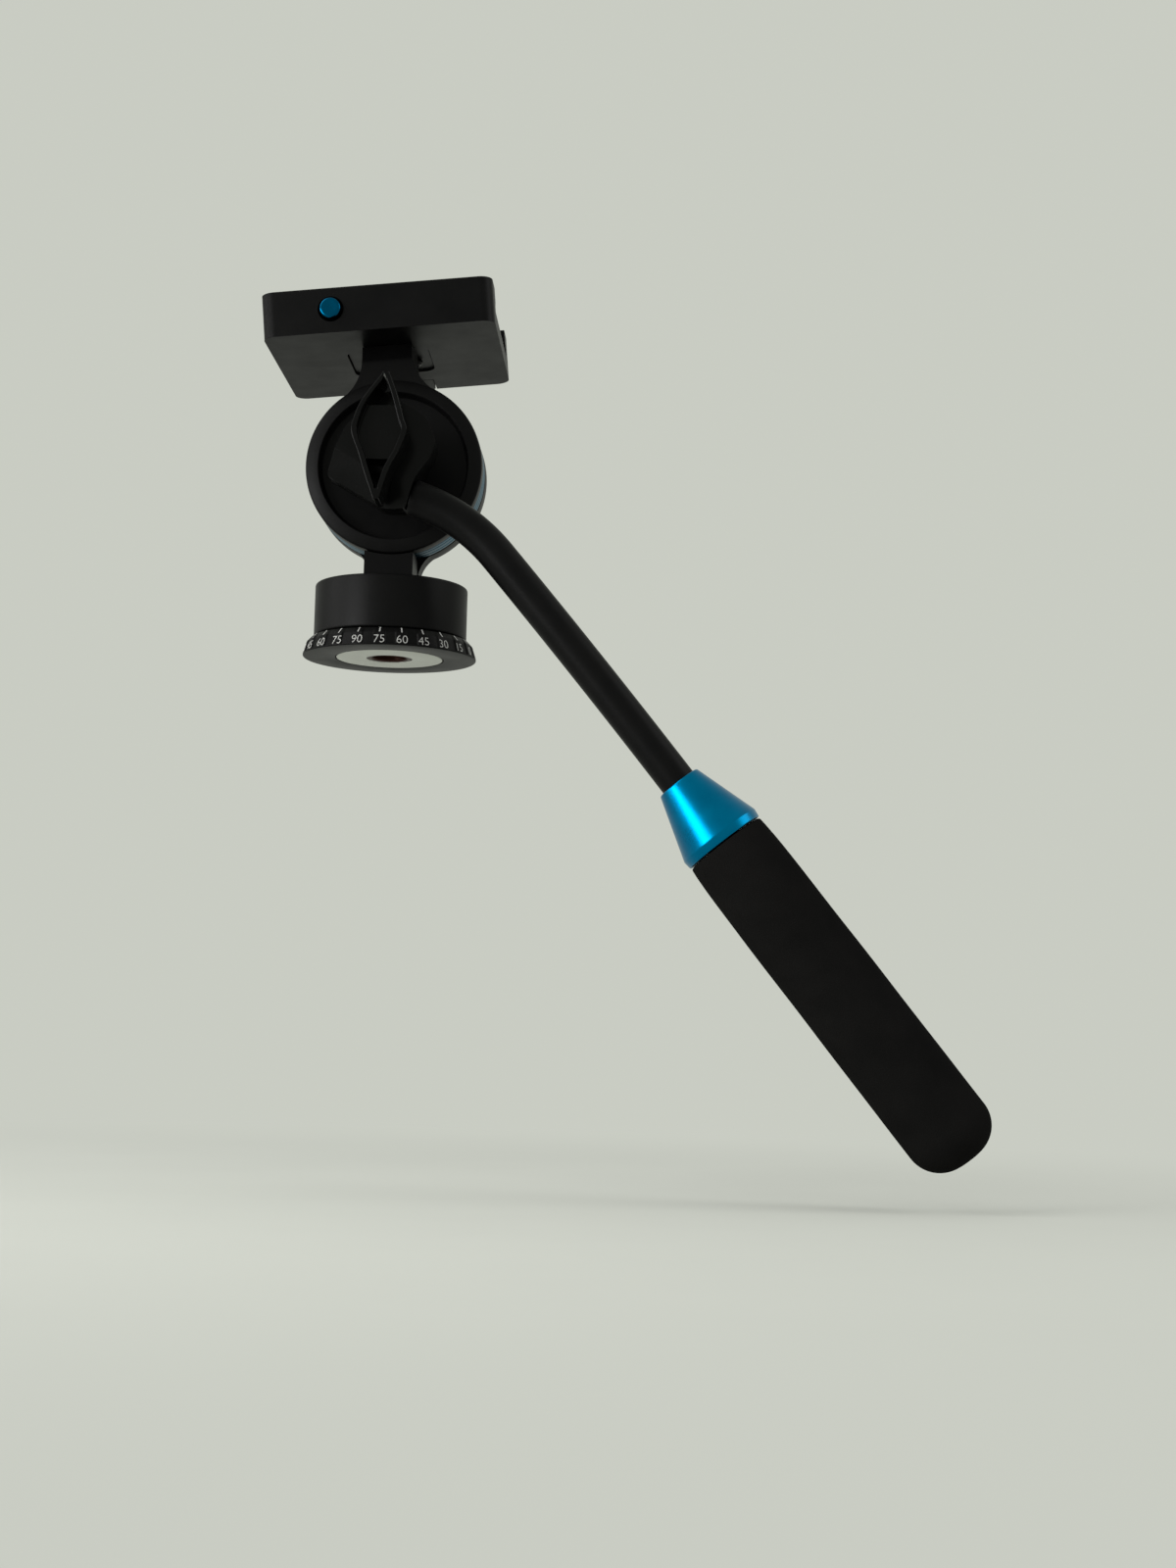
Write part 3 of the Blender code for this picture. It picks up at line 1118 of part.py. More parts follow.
def make_rod(black, parent):
    """Makes the bent rod, from its spigot in the base to its blind end inside the foam."""
    bend = ROD_BEND_RADIUS * (ROD_START_ANGLE - ROD_END_ANGLE)
    end = bend + ROD_STRAIGHT + COLLAR_CONE + COLLAR_BAND + GRIP_LENGTH - GRIP_CAP
    stations = [(-SPIGOT_LENGTH, SPIGOT_RADIUS), (0.0, SPIGOT_RADIUS), (0.0, ROD_RADIUS - EDGE_BEVEL)]
    stations += [(EDGE_BEVEL, ROD_RADIUS)]
    stations += [(bend * step / ROD_BEND_STEPS, ROD_RADIUS) for step in range(1, ROD_BEND_STEPS + 1)]
    stations += [(end - EDGE_BEVEL, ROD_RADIUS), (end, ROD_RADIUS - EDGE_BEVEL)]
    shape = bmesh.new()
    skin_rows(shape, [[shape.verts.new(point) for point in row] for row in rod_rows(stations)])
    return add_piece("handle_rod", shape, black, parent)


def make_grip(blue, foam, parent):
    """Makes the coloured collar and the foam grip on the rod's straight end."""
    bend = ROD_BEND_RADIUS * (ROD_START_ANGLE - ROD_END_ANGLE)
    x, z, heading = rod_point(bend + ROD_STRAIGHT)
    grip_axis = add_empty("grip_axis", parent, (x, ROD_PLANE_Y, z))
    grip_axis.rotation_euler = (0.0, -heading, 0.0)
    bore = ROD_RADIUS + GAP
    band = COLLAR_CONE + COLLAR_BAND - GAP
    collar = [
        (bore, 0.0), (COLLAR_NOSE_RADIUS - EDGE_BEVEL, 0.0), (COLLAR_NOSE_RADIUS, EDGE_BEVEL),
        (GRIP_RADIUS, COLLAR_CONE), (GRIP_RADIUS + GAP, COLLAR_CONE + EDGE_BEVEL), (GRIP_RADIUS, band),
        (bore, band),
    ]
    turned("grip_collar", collar, blue, grip_axis, "X", GRIP_STEPS)
    start = COLLAR_CONE + COLLAR_BAND
    end = start + GRIP_LENGTH
    rod_end = end - GRIP_CAP + GAP
    centre = GRIP_END_RADIUS - GRIP_ROUND
    rounding = arc((end - GRIP_ROUND, centre), GRIP_ROUND, math.pi / 2, 0.0, 5)
    profile = [(0.0, rod_end), (bore, rod_end), (bore, start), (GRIP_RADIUS - EDGE_BEVEL, start)]
    profile += [(GRIP_RADIUS, start + EDGE_BEVEL), (GRIP_MID_RADIUS, start + GRIP_LENGTH * GRIP_MID_SHARE)]
    profile += [(radius, along) for along, radius in rounding]
    profile += [(0.0, end)]
    turned("foam_grip", profile, foam, grip_axis, "X", GRIP_STEPS)


# Handle locking knob

def leaf_edge(shares, height):
    """Half width of the leaf at a height, between hand-chosen shares."""
    level = (height - LEAF_CENTRE_Z) / LEAF_HALF_HEIGHT
    for (low, narrow), (high, wide) in zip(shares, shares[1:]):
        if level <= high:
            blend = (max(level, low) - low) / (high - low)
            return LEAF_HALF_WIDTH * (narrow + (wide - narrow) * blend)
    return LEAF_HALF_WIDTH * shares[-1][1]


def leaf_outline(low, high, wall=0.0, least=0.0):
    """Outline in (x, z) of the leaf between two heights, drawn in by a wall."""
    heights = [low + (high - low) * step / LEAF_STEPS for step in range(LEAF_STEPS + 1)]
    right = []
    left = []
    for height in heights:
        x_right = leaf_edge(LEAF_RIGHT_SHARES, height) - wall
        x_left = wall - leaf_edge(LEAF_LEFT_SHARES, height)
        middle = (x_left + x_right) / 2
        half = max((x_right - x_left) / 2, least)
        right.append((middle + half, height))
        left.append((middle - half, height))
    return right + list(reversed(left))


def make_handle_knob(black, steel, parent):
    """Makes the leaf-shaped knob and the bolt that clamps the handle to the near disc."""
    low = LEAF_CENTRE_Z - LEAF_HALF_HEIGHT
    high = LEAF_CENTRE_Z + LEAF_HALF_HEIGHT
    outline = leaf_outline(low, high, least=LEAF_WALL / 2)
    knob = prism("handle_knob", outline, LEAF_FRONT_Y, LEAF_BACK_Y, black, parent)
    front = LEAF_FRONT_Y - OVERRUN
    back = LEAF_BACK_Y + OVERRUN
    opening = leaf_outline(low + 2 * LEAF_WALL, high + OVERRUN, LEAF_WALL, LEAF_TIP_GAP / 2)
    cut(knob, prism("leaf_opening_tool", opening, front, back, None, parent))
    web_front = LEAF_FRONT_Y + LEAF_WEB_RECESS
    web = leaf_outline(-LEAF_WEB_BOTTOM, LEAF_WEB_TOP, LEAF_WALL / 2)
    join(knob, prism("leaf_web_tool", web, web_front, LEAF_BACK_Y - GAP, None, parent))
    bore_end = web_front + BOLT_WEB
    bore = rod_profile(BOLT_BORE, bore_end, back)
    cut(knob, turned("knob_bore_tool", bore, None, parent, "Y", SMALL_STEPS))
    bolt_end = NEAR_RECESS_Y + BOLT_SEAT - GAP
    turned("handle_bolt", rod_profile(BOLT_RADIUS, bore_end + GAP, bolt_end), steel, parent, "Y", SMALL_STEPS)


def add_empty(name, parent, place):
    """Adds an empty that holds a joint's axis."""
    empty = bpy.data.objects.new(name, None)
    empty.location = place
    empty.parent = parent
    bpy.context.scene.collection.objects.link(empty)
    return empty


def build():
    """Builds the whole head."""
    clear_scene()
    satin = finish("satin_black", (0.018, 0.018, 0.020), 0.42, 0.6)
    gloss = finish("gloss_black", (0.012, 0.012, 0.014), 0.25, 0.3)
    silver = finish("pale_silver", (0.78, 0.78, 0.76), 0.5, 0.2)
    steel = finish("bright_steel", (0.55, 0.56, 0.58), 0.3, 1.0)
    bronze = finish("bronze", (0.42, 0.27, 0.12), 0.4, 0.9)
    brass = finish("red_brass", (0.36, 0.13, 0.08), 0.45, 0.8)
    nylon = finish("white_nylon", (0.75, 0.74, 0.70), 0.55, 0.0)
    blue = finish("blue_anodised", (0.01, 0.30, 0.52), 0.28, 0.85)
    liquid = finish("level_liquid", (0.45, 0.62, 0.12), 0.1, 0.0)
    rubber = finish("black_rubber", (0.02, 0.02, 0.02), 0.85, 0.0)
    foam = finish("black_foam", (0.022, 0.022, 0.023), 0.95, 0.0)

    base = add_empty("pan_axis", None, (0.0, 0.0, 0.0))
    make_base(satin, base)
    make_seat_plate(silver, base)
    make_thread_insert(brass, base)
    make_spindle(steel, base)
    make_spindle_nut(steel, base)
    make_pan_bush(bronze, base)
    make_drag_washer(nylon, base)
    make_housing(satin, base)
    make_level_vial(liquid, base)
    make_brake_shoe(bronze, base)
    make_pan_lock(steel, satin, add_empty("pan_lock_axis", base, (0.0, 0.0, LOCK_Z)))

    tilt = add_empty("tilt_axis", base, (AXIS_X, 0.0, AXIS_HEIGHT))
    make_lower_yoke(satin, tilt)
    make_axle(steel, tilt)
    make_drag_ring(blue, tilt)
    make_damping_stack((steel, nylon), tilt)
    make_tilt_bush(bronze, tilt)
    make_tilt_lock(steel, satin, tilt)

    platform = add_empty("platform_axis", tilt, (0.0, 0.0, 0.0))
    platform.rotation_euler = (0.0, -PLATFORM_TILT, 0.0)
    make_tilt_cheek(satin, platform)
    make_platform_screws(steel, platform)
    make_clamp_body(satin, platform)
    make_moving_jaw(satin, platform)
    make_clamp_drive(steel, satin, platform)
    make_button(blue, steel, platform)
    make_camera_plate(satin, platform)
    make_plate_trim(rubber, steel, platform)

    handle = add_empty("handle_axis", tilt, (0.0, 0.0, 0.0))
    make_handle_base(gloss, handle)
    make_rod(satin, handle)
    make_grip(blue, foam, handle)
    make_handle_knob(gloss, steel, handle)


build()
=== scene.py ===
"""Dressed model of a small fluid video head.

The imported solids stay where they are. The shells that show are built again with rounded edges, and get the dial's
numbers, the threads, the foam and the anodised finishes. The near side, where the handle is, faces -Y.
"""

import logging
import math
from dataclasses import dataclass, field
from enum import Enum
from typing import Callable, Iterable, Sequence

import bmesh
import bpy
from mathutils import Matrix, Vector


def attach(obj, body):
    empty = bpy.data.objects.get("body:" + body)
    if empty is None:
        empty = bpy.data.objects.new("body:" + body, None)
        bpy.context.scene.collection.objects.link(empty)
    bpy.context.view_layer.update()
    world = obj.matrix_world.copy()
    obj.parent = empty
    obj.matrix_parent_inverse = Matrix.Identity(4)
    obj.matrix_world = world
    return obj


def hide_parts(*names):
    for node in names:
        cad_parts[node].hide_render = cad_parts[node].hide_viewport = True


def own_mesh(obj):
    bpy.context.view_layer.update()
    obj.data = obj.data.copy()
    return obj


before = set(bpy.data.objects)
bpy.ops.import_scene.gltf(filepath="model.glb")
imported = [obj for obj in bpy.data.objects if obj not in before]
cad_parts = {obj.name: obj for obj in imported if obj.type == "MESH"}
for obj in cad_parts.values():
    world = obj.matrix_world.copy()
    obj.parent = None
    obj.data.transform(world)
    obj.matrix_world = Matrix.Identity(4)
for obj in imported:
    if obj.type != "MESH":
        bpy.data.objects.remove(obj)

Flat = tuple[float, float]
Place = tuple[float, float, float]
Span = tuple[float, float, float, float]
Piece = bpy.types.Object
Socket = bpy.types.NodeSocket
Wave = Callable[[float, float, float], float]
LOG = logging.getLogger("fluid_head")
MM = 0.001
GAP = 0.0003
OVERRUN = 0.001
ORIGIN = (0.0, 0.0, 0.0)
QUARTER = math.pi / 2
SMOOTH_ANGLE = math.radians(28)
WIDE_ANGLE = math.radians(40)
WIDEST_ANGLE = math.radians(50)
CUT, JOIN = "DIFFERENCE", "UNION"


class Axis(Enum):
    """Row axis that a shape is turned about or drawn out along."""

    X = 0
    Y = 1
    Z = 2

    def point(self, across: float, up: float, along: float) -> Vector:
        """Gives the point that is across and up from the axis and at along on it."""
        values = [across, up]
        values.insert(self.value, along)
        return Vector(values)


class Grain(Enum):
    """Kind of fine surface that a finish has."""

    BLASTED = "bead blasted"
    TURNED = "lathe lines"
    MOULDED = "moulded"
    FOAM = "closed cell foam"


# Places of the turned sub-assemblies

TILT_AXIS = Vector((0.45 * MM, 0.0, 49.26 * MM))
PLATFORM_TILT = math.radians(5.33)
ON_BASE = Matrix.Identity(4)
ON_TILT_AXIS = Matrix.Translation(TILT_AXIS)
ON_PLATFORM = ON_TILT_AXIS @ Matrix.Rotation(-PLATFORM_TILT, 4, "Y")
FLANGE_SCREWS = ((-7.35 * MM, 10.6 * MM), (6.05 * MM, 10.6 * MM))


# Node trees and finishes

class Nodes:
    """Adds and links the nodes of one tree."""

    def __init__(self, tree: bpy.types.NodeTree) -> None:
        """Takes the tree."""
        self.tree = tree

    def feed(self, node: bpy.types.Node, inputs: dict[str | int, object]) -> bpy.types.Node:
        """Links a node's inputs, given by name or number, to sockets, or sets them to plain values."""
        for key, value in inputs.items():
            if isinstance(value, Socket):
                self.tree.links.new(value, node.inputs[key])
            else:
                node.inputs[key].default_value = value
        return node

    def add(self, kind: str, inputs: dict[str | int, object] | None = None, **values: object) -> bpy.types.Node:
        """Adds a node.

        Args:
            kind: Blender's name for its type.
            inputs: Sockets or plain values for its inputs.
            values: Its properties by name.

        Returns:
            The new node.
        """
        node = self.tree.nodes.new(kind)
        for key, value in values.items():
            setattr(node, key, value)
        return self.feed(node, inputs or {})

    def calc(self, operation: str, *parts: object) -> Socket:
        """Adds a math node and gives its value."""
        return self.add("ShaderNodeMath", dict(enumerate(parts)), operation=operation).outputs["Value"]

    def vector(self, **parts: Socket) -> Socket:
        """Makes a vector from the sockets given for X, Y and Z."""
        return self.add("ShaderNodeCombineXYZ", parts).outputs["Vector"]

    def length(self, vector: Socket) -> Socket:
        """Gives a vector's length."""
        return self.add("ShaderNodeVectorMath", {0: vector}, operation="LENGTH").outputs["Value"]

    def seen(self) -> Socket:
        """Gives 1 for rays that see the background, from the camera or by way of metal or glass."""
        path = self.add("ShaderNodeLightPath").outputs
        result = path["Is Camera Ray"]
        for name in ("Is Transmission Ray", "Is Glossy Ray"):
            result = self.calc("MAXIMUM", result, path[name])
        return result


class Sheet(Nodes):
    """The nodes of one material."""

    def __init__(self, name: str) -> None:
        """Starts a material of that name."""
        self.material = bpy.data.materials.new(name)
        self.material.use_nodes = True
        super().__init__(self.material.node_tree)
        self.shader = self.tree.nodes["Principled BSDF"]
        self.place = self.add("ShaderNodeTexCoord").outputs["Object"]

    def noise(self, vector: Socket, scale: float, detail: float, roughness: float = 0.6) -> Socket:
        """Adds a noise and gives its value."""
        inputs = {"Vector": vector, "Scale": scale, "Detail": detail, "Roughness": roughness}
        return self.add("ShaderNodeTexNoise", inputs).outputs["Fac"]

    def spread(self, source: Socket, low: float, high: float, start: float = 0.3, stop: float = 0.7) -> Socket:
        """Maps a value from start and stop to low and high."""
        inputs = {"Value": source, "From Min": start, "From Max": stop, "To Min": low, "To Max": high}
        return self.add("ShaderNodeMapRange", inputs, clamp=True).outputs["Result"]

    def mix(self, share: Socket, first: Place, second: Place) -> Socket:
        """Mixes two colours by a share and gives the colour."""
        node = self.add("ShaderNodeMix", {"Factor": share}, data_type="RGBA")
        sockets = [socket for socket in node.inputs if socket.type == "RGBA"]
        for socket, colour in zip(sockets, (first, second)):
            socket.default_value = (*colour, 1.0)
        return next(socket for socket in node.outputs if socket.type == "RGBA")


MADE: dict[str, bpy.types.Material] = {}


@dataclass(frozen=True)
class Finish:
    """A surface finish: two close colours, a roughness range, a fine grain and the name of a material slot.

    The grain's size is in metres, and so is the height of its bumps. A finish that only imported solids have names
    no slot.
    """

    name: str
    colour: Place
    tint: Place
    roughness: Flat
    metallic: float
    grain: Grain
    grain_size: float
    bump: float
    slot: str = ""
    specular: float = 0.5
    coat: float = 0.0
    coat_roughness: float = 0.12
    patch_size: float = 0.009

    def material(self) -> bpy.types.Material:
        """Builds the node material the first time, and gives the same one after that."""
        if self.name in MADE:
            return MADE[self.name]
        sheet = Sheet(self.name)
        MADE[self.name] = sheet.material
        patches = sheet.noise(sheet.place, 1.0 / self.patch_size, 4.0)
        fine = self.grain_height(sheet)
        bump = sheet.add("ShaderNodeBump", {"Height": fine, "Distance": self.bump, "Strength": 1.0})
        low, high = self.roughness
        sheet.feed(sheet.shader, {
            "Metallic": self.metallic, "Specular IOR Level": self.specular, "Coat Weight": self.coat,
            "Coat Roughness": self.coat_roughness, "Normal": bump.outputs["Normal"],
            "Base Color": sheet.mix(sheet.spread(patches, 0.0, 1.0), self.colour, self.tint),
            "Roughness": sheet.calc("ADD", sheet.spread(patches, low, (low + high) / 2),
                                    sheet.spread(fine, 0.0, (high - low) / 2, 0.2, 0.8)),
        })
        return sheet.material

    def grain_height(self, sheet: Sheet) -> Socket:
        """Gives the height of the fine grain, from 0 to 1."""
        scale = 1.0 / self.grain_size
        if self.grain is Grain.TURNED:
            parts = sheet.add("ShaderNodeSeparateXYZ", {"Vector": sheet.place}).outputs
            reach = sheet.length(sheet.vector(X=parts["X"], Y=parts["Y"]))
            return sheet.noise(sheet.vector(X=reach, Y=parts["Z"]), scale, 4.0, 0.7)
        if self.grain is Grain.FOAM:
            cells = sheet.add("ShaderNodeTexVoronoi", {"Vector": sheet.place, "Scale": scale}, feature="F1")
            return sheet.calc("ADD", cells.outputs["Distance"], sheet.noise(sheet.place, 0.3 * scale, 3.0))
        return sheet.noise(sheet.place, scale, 2.0 if self.grain is Grain.MOULDED else 5.0)


SATIN_BLACK = Finish("satin_black_anodising", (0.0024, 0.0024, 0.0025), (0.0036, 0.0035, 0.0035), (0.34, 0.48), 0.0,
                     Grain.BLASTED, 0.00016, 0.000010, "satin_black", specular=0.07)
GLOSS_BLACK = Finish("gloss_black_moulding", (0.0014, 0.0015, 0.0015), (0.0022, 0.0022, 0.0022), (0.14, 0.24), 0.0,
                     Grain.MOULDED, 0.0007, 0.000006, "gloss_black", specular=0.10)
PALE_SILVER = Finish("pale_turned_silver", (0.44, 0.45, 0.415), (0.49, 0.50, 0.46), (0.40, 0.55), 0.35,
                     Grain.TURNED, 0.00028, 0.000012, "pale_silver", patch_size=0.006)
BRIGHT_STEEL = Finish("machined_steel", (0.50, 0.51, 0.53), (0.58, 0.59, 0.60), (0.22, 0.36), 1.0,
                      Grain.BLASTED, 0.0002, 0.000006, "bright_steel")
BRONZE = Finish("sintered_bronze", (0.36, 0.22, 0.10), (0.44, 0.29, 0.14), (0.38, 0.52), 0.9,
                Grain.BLASTED, 0.00018, 0.00001)
RED_BRASS = Finish("dark_red_brass", (0.022, 0.0065, 0.0045), (0.034, 0.011, 0.007), (0.35, 0.55), 0.5,
                   Grain.BLASTED, 0.0002, 0.00001, "red_brass", specular=0.15)
WHITE_NYLON = Finish("natural_nylon", (0.70, 0.69, 0.65), (0.76, 0.75, 0.71), (0.45, 0.58), 0.0,
                     Grain.MOULDED, 0.0005, 0.000008)
BLUE_ANODISED = Finish("blue_anodising", (0.0, 0.138, 0.285), (0.0, 0.170, 0.335), (0.24, 0.35), 1.0,
                       Grain.BLASTED, 0.00022, 0.000005, "blue_anodised")
DEEP_BLUE = Finish("deep_blue_anodising", (0.0, 0.058, 0.125), (0.0, 0.072, 0.150), (0.18, 0.28), 1.0,
                   Grain.BLASTED, 0.00022, 0.000004, "blue_anodised")
RING_BLUE = Finish("dark_blue_anodising", (0.008, 0.070, 0.118), (0.010, 0.086, 0.144), (0.34, 0.48), 0.95,
                   Grain.BLASTED, 0.00022, 0.000006, "blue_anodised")
BLACK_RUBBER = Finish("ribbed_rubber", (0.016, 0.016, 0.016), (0.024, 0.023, 0.023), (0.65, 0.85), 0.0,
                      Grain.MOULDED, 0.0003, 0.00002, "black_rubber", specular=0.3)
BLACK_FOAM = Finish("closed_cell_foam", (0.0058, 0.0057, 0.0055), (0.0082, 0.0079, 0.0075), (0.88, 1.00), 0.0,
                    Grain.FOAM, 0.00042, 0.00003, "black_foam", specular=0.01, patch_size=0.014)
WHITE_INK = Finish("white_dial_ink", (0.30, 0.30, 0.285), (0.40, 0.40, 0.38), (0.50, 0.62), 0.0,
                   Grain.MOULDED, 0.0004, 0.000004, "satin_black")
LEVEL_LIQUID = Finish("level_liquid", (0.30, 0.50, 0.06), (0.36, 0.56, 0.08), (0.05, 0.10), 0.0,
                      Grain.MOULDED, 0.002, 0.000002, "level_liquid", coat=1.0)


# Outlines

def stairs(*turns: float) -> list[Flat]:
    """Gives a stepped line's points from its places across and along in turn, such as left, low, right, high."""
    return [(turns[step + step % 2], turns[step + 1 - step % 2]) for step in range(len(turns) - 1)]


def arc(centre: Flat, radius: float, start: float, stop: float, steps: int) -> list[Flat]:
    """Gives points on an arc from angle start to angle stop."""
    angles = [start + (stop - start) * step / steps for step in range(steps + 1)]
    return [(centre[0] + radius * math.cos(angle), centre[1] + radius * math.sin(angle)) for angle in angles]


def rounded_rectangle(left: float, right: float, low: float, high: float, radius: float, steps: int) -> list[Flat]:
    """Gives the outline of a rectangle with round corners."""
    corners = ((right - radius, high - radius), (left + radius, high - radius),
               (left + radius, low + radius), (right - radius, low + radius))
    return [point for index, corner in enumerate(corners)
            for point in arc(corner, radius, index * QUARTER, (index + 1) * QUARTER, steps)]


def rounded(points: Sequence[Flat], radius: float, steps: int = 4, closed: bool = False) -> list[Flat]:
    """Rounds the corners of a line of points.

    Args:
        points: The line's points, in a plane.
        radius: Reach of each rounding along its two sides, kept under half a side.
        steps: Segments of each rounding.
        closed: Whether the last point joins the first.

    Returns:
        The longer line of points.
    """
    count = len(points)
    result = []
    for index, point in enumerate(points):
        if not closed and index in (0, count - 1):
            result.append(point)
            continue
        here = Vector(point)
        before = Vector(points[index - 1]) - here
        after = Vector(points[(index + 1) % count]) - here
        reach = min(radius, before.length * 0.45, after.length * 0.45)
        start = here + before.normalized() * reach
        stop = here + after.normalized() * reach
        for step in range(steps + 1):
            share = step / steps
            result.append(tuple(start * (1 - share) ** 2 + here * (2 * share * (1 - share)) + stop * share ** 2))
    return result


def rimmed(profile: Sequence[Flat], radius: float, steps: int = 3) -> list[Flat]:
    """Rounds a turned profile's corners, those on its axis left out."""
    return rounded(profile, radius, steps, profile[0][0] > 0.0)


def smooth_line(points: Sequence[Flat], steps: int) -> list[Flat]:
    """Draws a smooth line through points, with steps segments between each two."""
    count = len(points)
    result = []
    for index in range(count - 1):
        first, second = Vector(points[index]), Vector(points[index + 1])
        before = Vector(points[index - 1]) if index else first * 2 - second
        after = Vector(points[index + 2]) if index + 2 < count else second * 2 - first
        for step in range(steps):
            share = step / steps
            result.append(tuple((first * 2 + (second - before) * share
                                 + (before * 2 - first * 5 + second * 4 - after) * share ** 2
                                 + (first * 3 - before - second * 3 + after) * share ** 3) / 2))
    return [*result, tuple(points[-1])]


# Bodies under construction

def added(name: str, data: bpy.types.ID) -> Piece:
    """Adds an object that shows the data to the scene."""
    piece = bpy.data.objects.new(name, data)
    bpy.context.scene.collection.objects.link(piece)
    return piece


class Body:
    """A closed body that is built in a sub-assembly's own frame."""

    def __init__(self) -> None:
        """Starts an empty body."""
        self.shape = bmesh.new()

    def turn(self, profile: Sequence[Flat], axis: Axis = Axis.Z, steps: int = 96, centre: Sequence[float] = ORIGIN,
             wave: Wave | None = None) -> "Body":
        """Turns a profile of (radius, along) points about an axis.

        Args:
            profile: Points that start and end on the axis, or close on themselves.
            axis: Axis of the turned shape.
            steps: Segments round the axis.
            centre: Point on the axis.
            wave: Changes a radius by where it is, or None.

        Returns:
            The body itself.
        """
        rows = []
        for radius, along in profile:
            row = []
            for step in range(1 if radius == 0.0 else steps):
                angle = math.tau * step / steps
                reach = wave(radius, along, angle) if wave else radius
                place = axis.point(reach * math.cos(angle), reach * math.sin(angle), along)
                row.append(self.shape.verts.new(place + Vector(centre)))
            rows.append(row)
        pairs = list(zip(rows, rows[1:]))
        if profile[0][0] > 0.0 or profile[-1][0] > 0.0:
            pairs.append((rows[-1], rows[0]))
        for pair in pairs:
            self.skin(*pair)
        return self

    def skin(self, first: list[bmesh.types.BMVert], second: list[bmesh.types.BMVert]) -> None:
        """Joins two closed rows of points, or a row and a single point, with faces."""
        steps = max(len(first), len(second))
        for step in range(steps):
            after = (step + 1) % steps
            corners = (first[step % len(first)], second[step % len(second)],
                       second[after % len(second)], first[after % len(first)])
            unique = list(dict.fromkeys(corners))
            if len(unique) > 2:
                self.shape.faces.new(unique)

    def cap(self, rows: Sequence[list[bmesh.types.BMVert]]) -> None:
        """Closes the first and the last row with a flat face."""
        self.shape.faces.new(rows[0])
        self.shape.faces.new(list(reversed(rows[-1])))

    def extrude(self, outline: Sequence[Flat], low: float, high: float, axis: Axis = Axis.Y) -> "Body":
        """Draws an outline out along an axis.

        Args:
            outline: (x, z) points along Y, (x, y) along Z or (y, z) along X.
            low: Where the body starts.
            high: Where it ends.
            axis: Axis that it is drawn out along.

        Returns:
            The body itself.
        """
        rows = [[self.shape.verts.new(axis.point(*point, along)) for point in outline] for along in (low, high)]
        self.cap(rows)
        self.skin(*rows)
        return self

    def tube(self, rows: Sequence[Sequence[Sequence[float]]]) -> "Body":
        """Skins equal rows of points into a tube with flat ends."""
        made = [[self.shape.verts.new(point) for point in row] for row in rows]
        for pair in zip(made, made[1:]):
            self.skin(*pair)
        self.cap(made)
        return self

    def done(self, name: str) -> Piece:
        """Turns the body into an object in the scene, with its faces outwards."""
        bmesh.ops.recalc_face_normals(self.shape, faces=self.shape.faces)
        mesh = bpy.data.meshes.new(name)
        self.shape.to_mesh(mesh)
        self.shape.free()
        return added(name, mesh)


def plain_mesh(piece: Piece) -> bpy.types.Mesh:
    """Gives the result of a piece's modifiers, or of a text, as a mesh."""
    bpy.context.view_layer.update()
    return bpy.data.meshes.new_from_object(piece.evaluated_get(bpy.context.evaluated_depsgraph_get()))


def settle(piece: Piece) -> Piece:
    """Makes the result of a piece's modifiers its plain mesh and removes them."""
    mesh = plain_mesh(piece)
    piece.modifiers.clear()
    old = piece.data
    piece.data = mesh
    mesh.name = piece.name
    bpy.data.meshes.remove(old)
    return piece


def carve(piece: Piece, tool: Body | Piece, operation: str = CUT) -> None:
    """Cuts a body or another object out of a piece, or joins it, and deletes it."""
    helper = tool.done("tool") if isinstance(tool, Body) else tool
    modifier = piece.modifiers.new("carve", "BOOLEAN")
    modifier.operation = operation
    modifier.solver = "EXACT"
    modifier.object = helper
    settle(piece)
    bpy.data.objects.remove(helper)


def bore(piece: Piece, radius: float, low: float, high: float, steps: int, centre: Sequence[float] = ORIGIN,
         axis: Axis = Axis.Y, operation: str = CUT) -> None:
    """Cuts a plain round rod out of a piece, or joins it.

    Args:
        piece: The piece.
        radius: Radius of the rod.
        low: Where the rod starts along its axis.
        high: Where it ends.
        steps: Segments round the axis.
        centre: Point on the axis.
        axis: Axis of the rod.
        operation: CUT or JOIN.
    """
    carve(piece, Body().turn(stairs(0.0, low, radius, high, 0.0), axis, steps, centre), operation)


def soften(piece: Piece, width: float, segments: int = 2) -> Piece:
    """Rounds a piece's sharp edges and keeps its flat faces flat in the light."""
    shape = bmesh.new()
    shape.from_mesh(piece.data)
    bmesh.ops.remove_doubles(shape, verts=shape.verts, dist=2e-6)
    bmesh.ops.dissolve_limit(shape, angle_limit=math.radians(0.6), verts=shape.verts, edges=shape.edges)
    shape.to_mesh(piece.data)
    shape.free()
    piece.data.shade_smooth()
    modifier = piece.modifiers.new("soften", "BEVEL")
    modifier.width = width
    modifier.segments = segments
    modifier.limit_method = "ANGLE"
    modifier.angle_limit = SMOOTH_ANGLE
    modifier.harden_normals = True
    modifier.use_clamp_overlap = True
    return settle(piece)


def smooth(piece: Piece, angle: float = SMOOTH_ANGLE) -> Piece:
    """Shades a piece smooth, apart from edges sharper than an angle."""
    piece.data.shade_smooth()
    piece.data.set_sharp_from_angle(angle=angle)
    return piece


def paint(piece: Piece, finish: Finish) -> None:
    """Gives a piece its finish as its one material."""
    piece.data.materials.clear()
    piece.data.materials.append(finish.material())


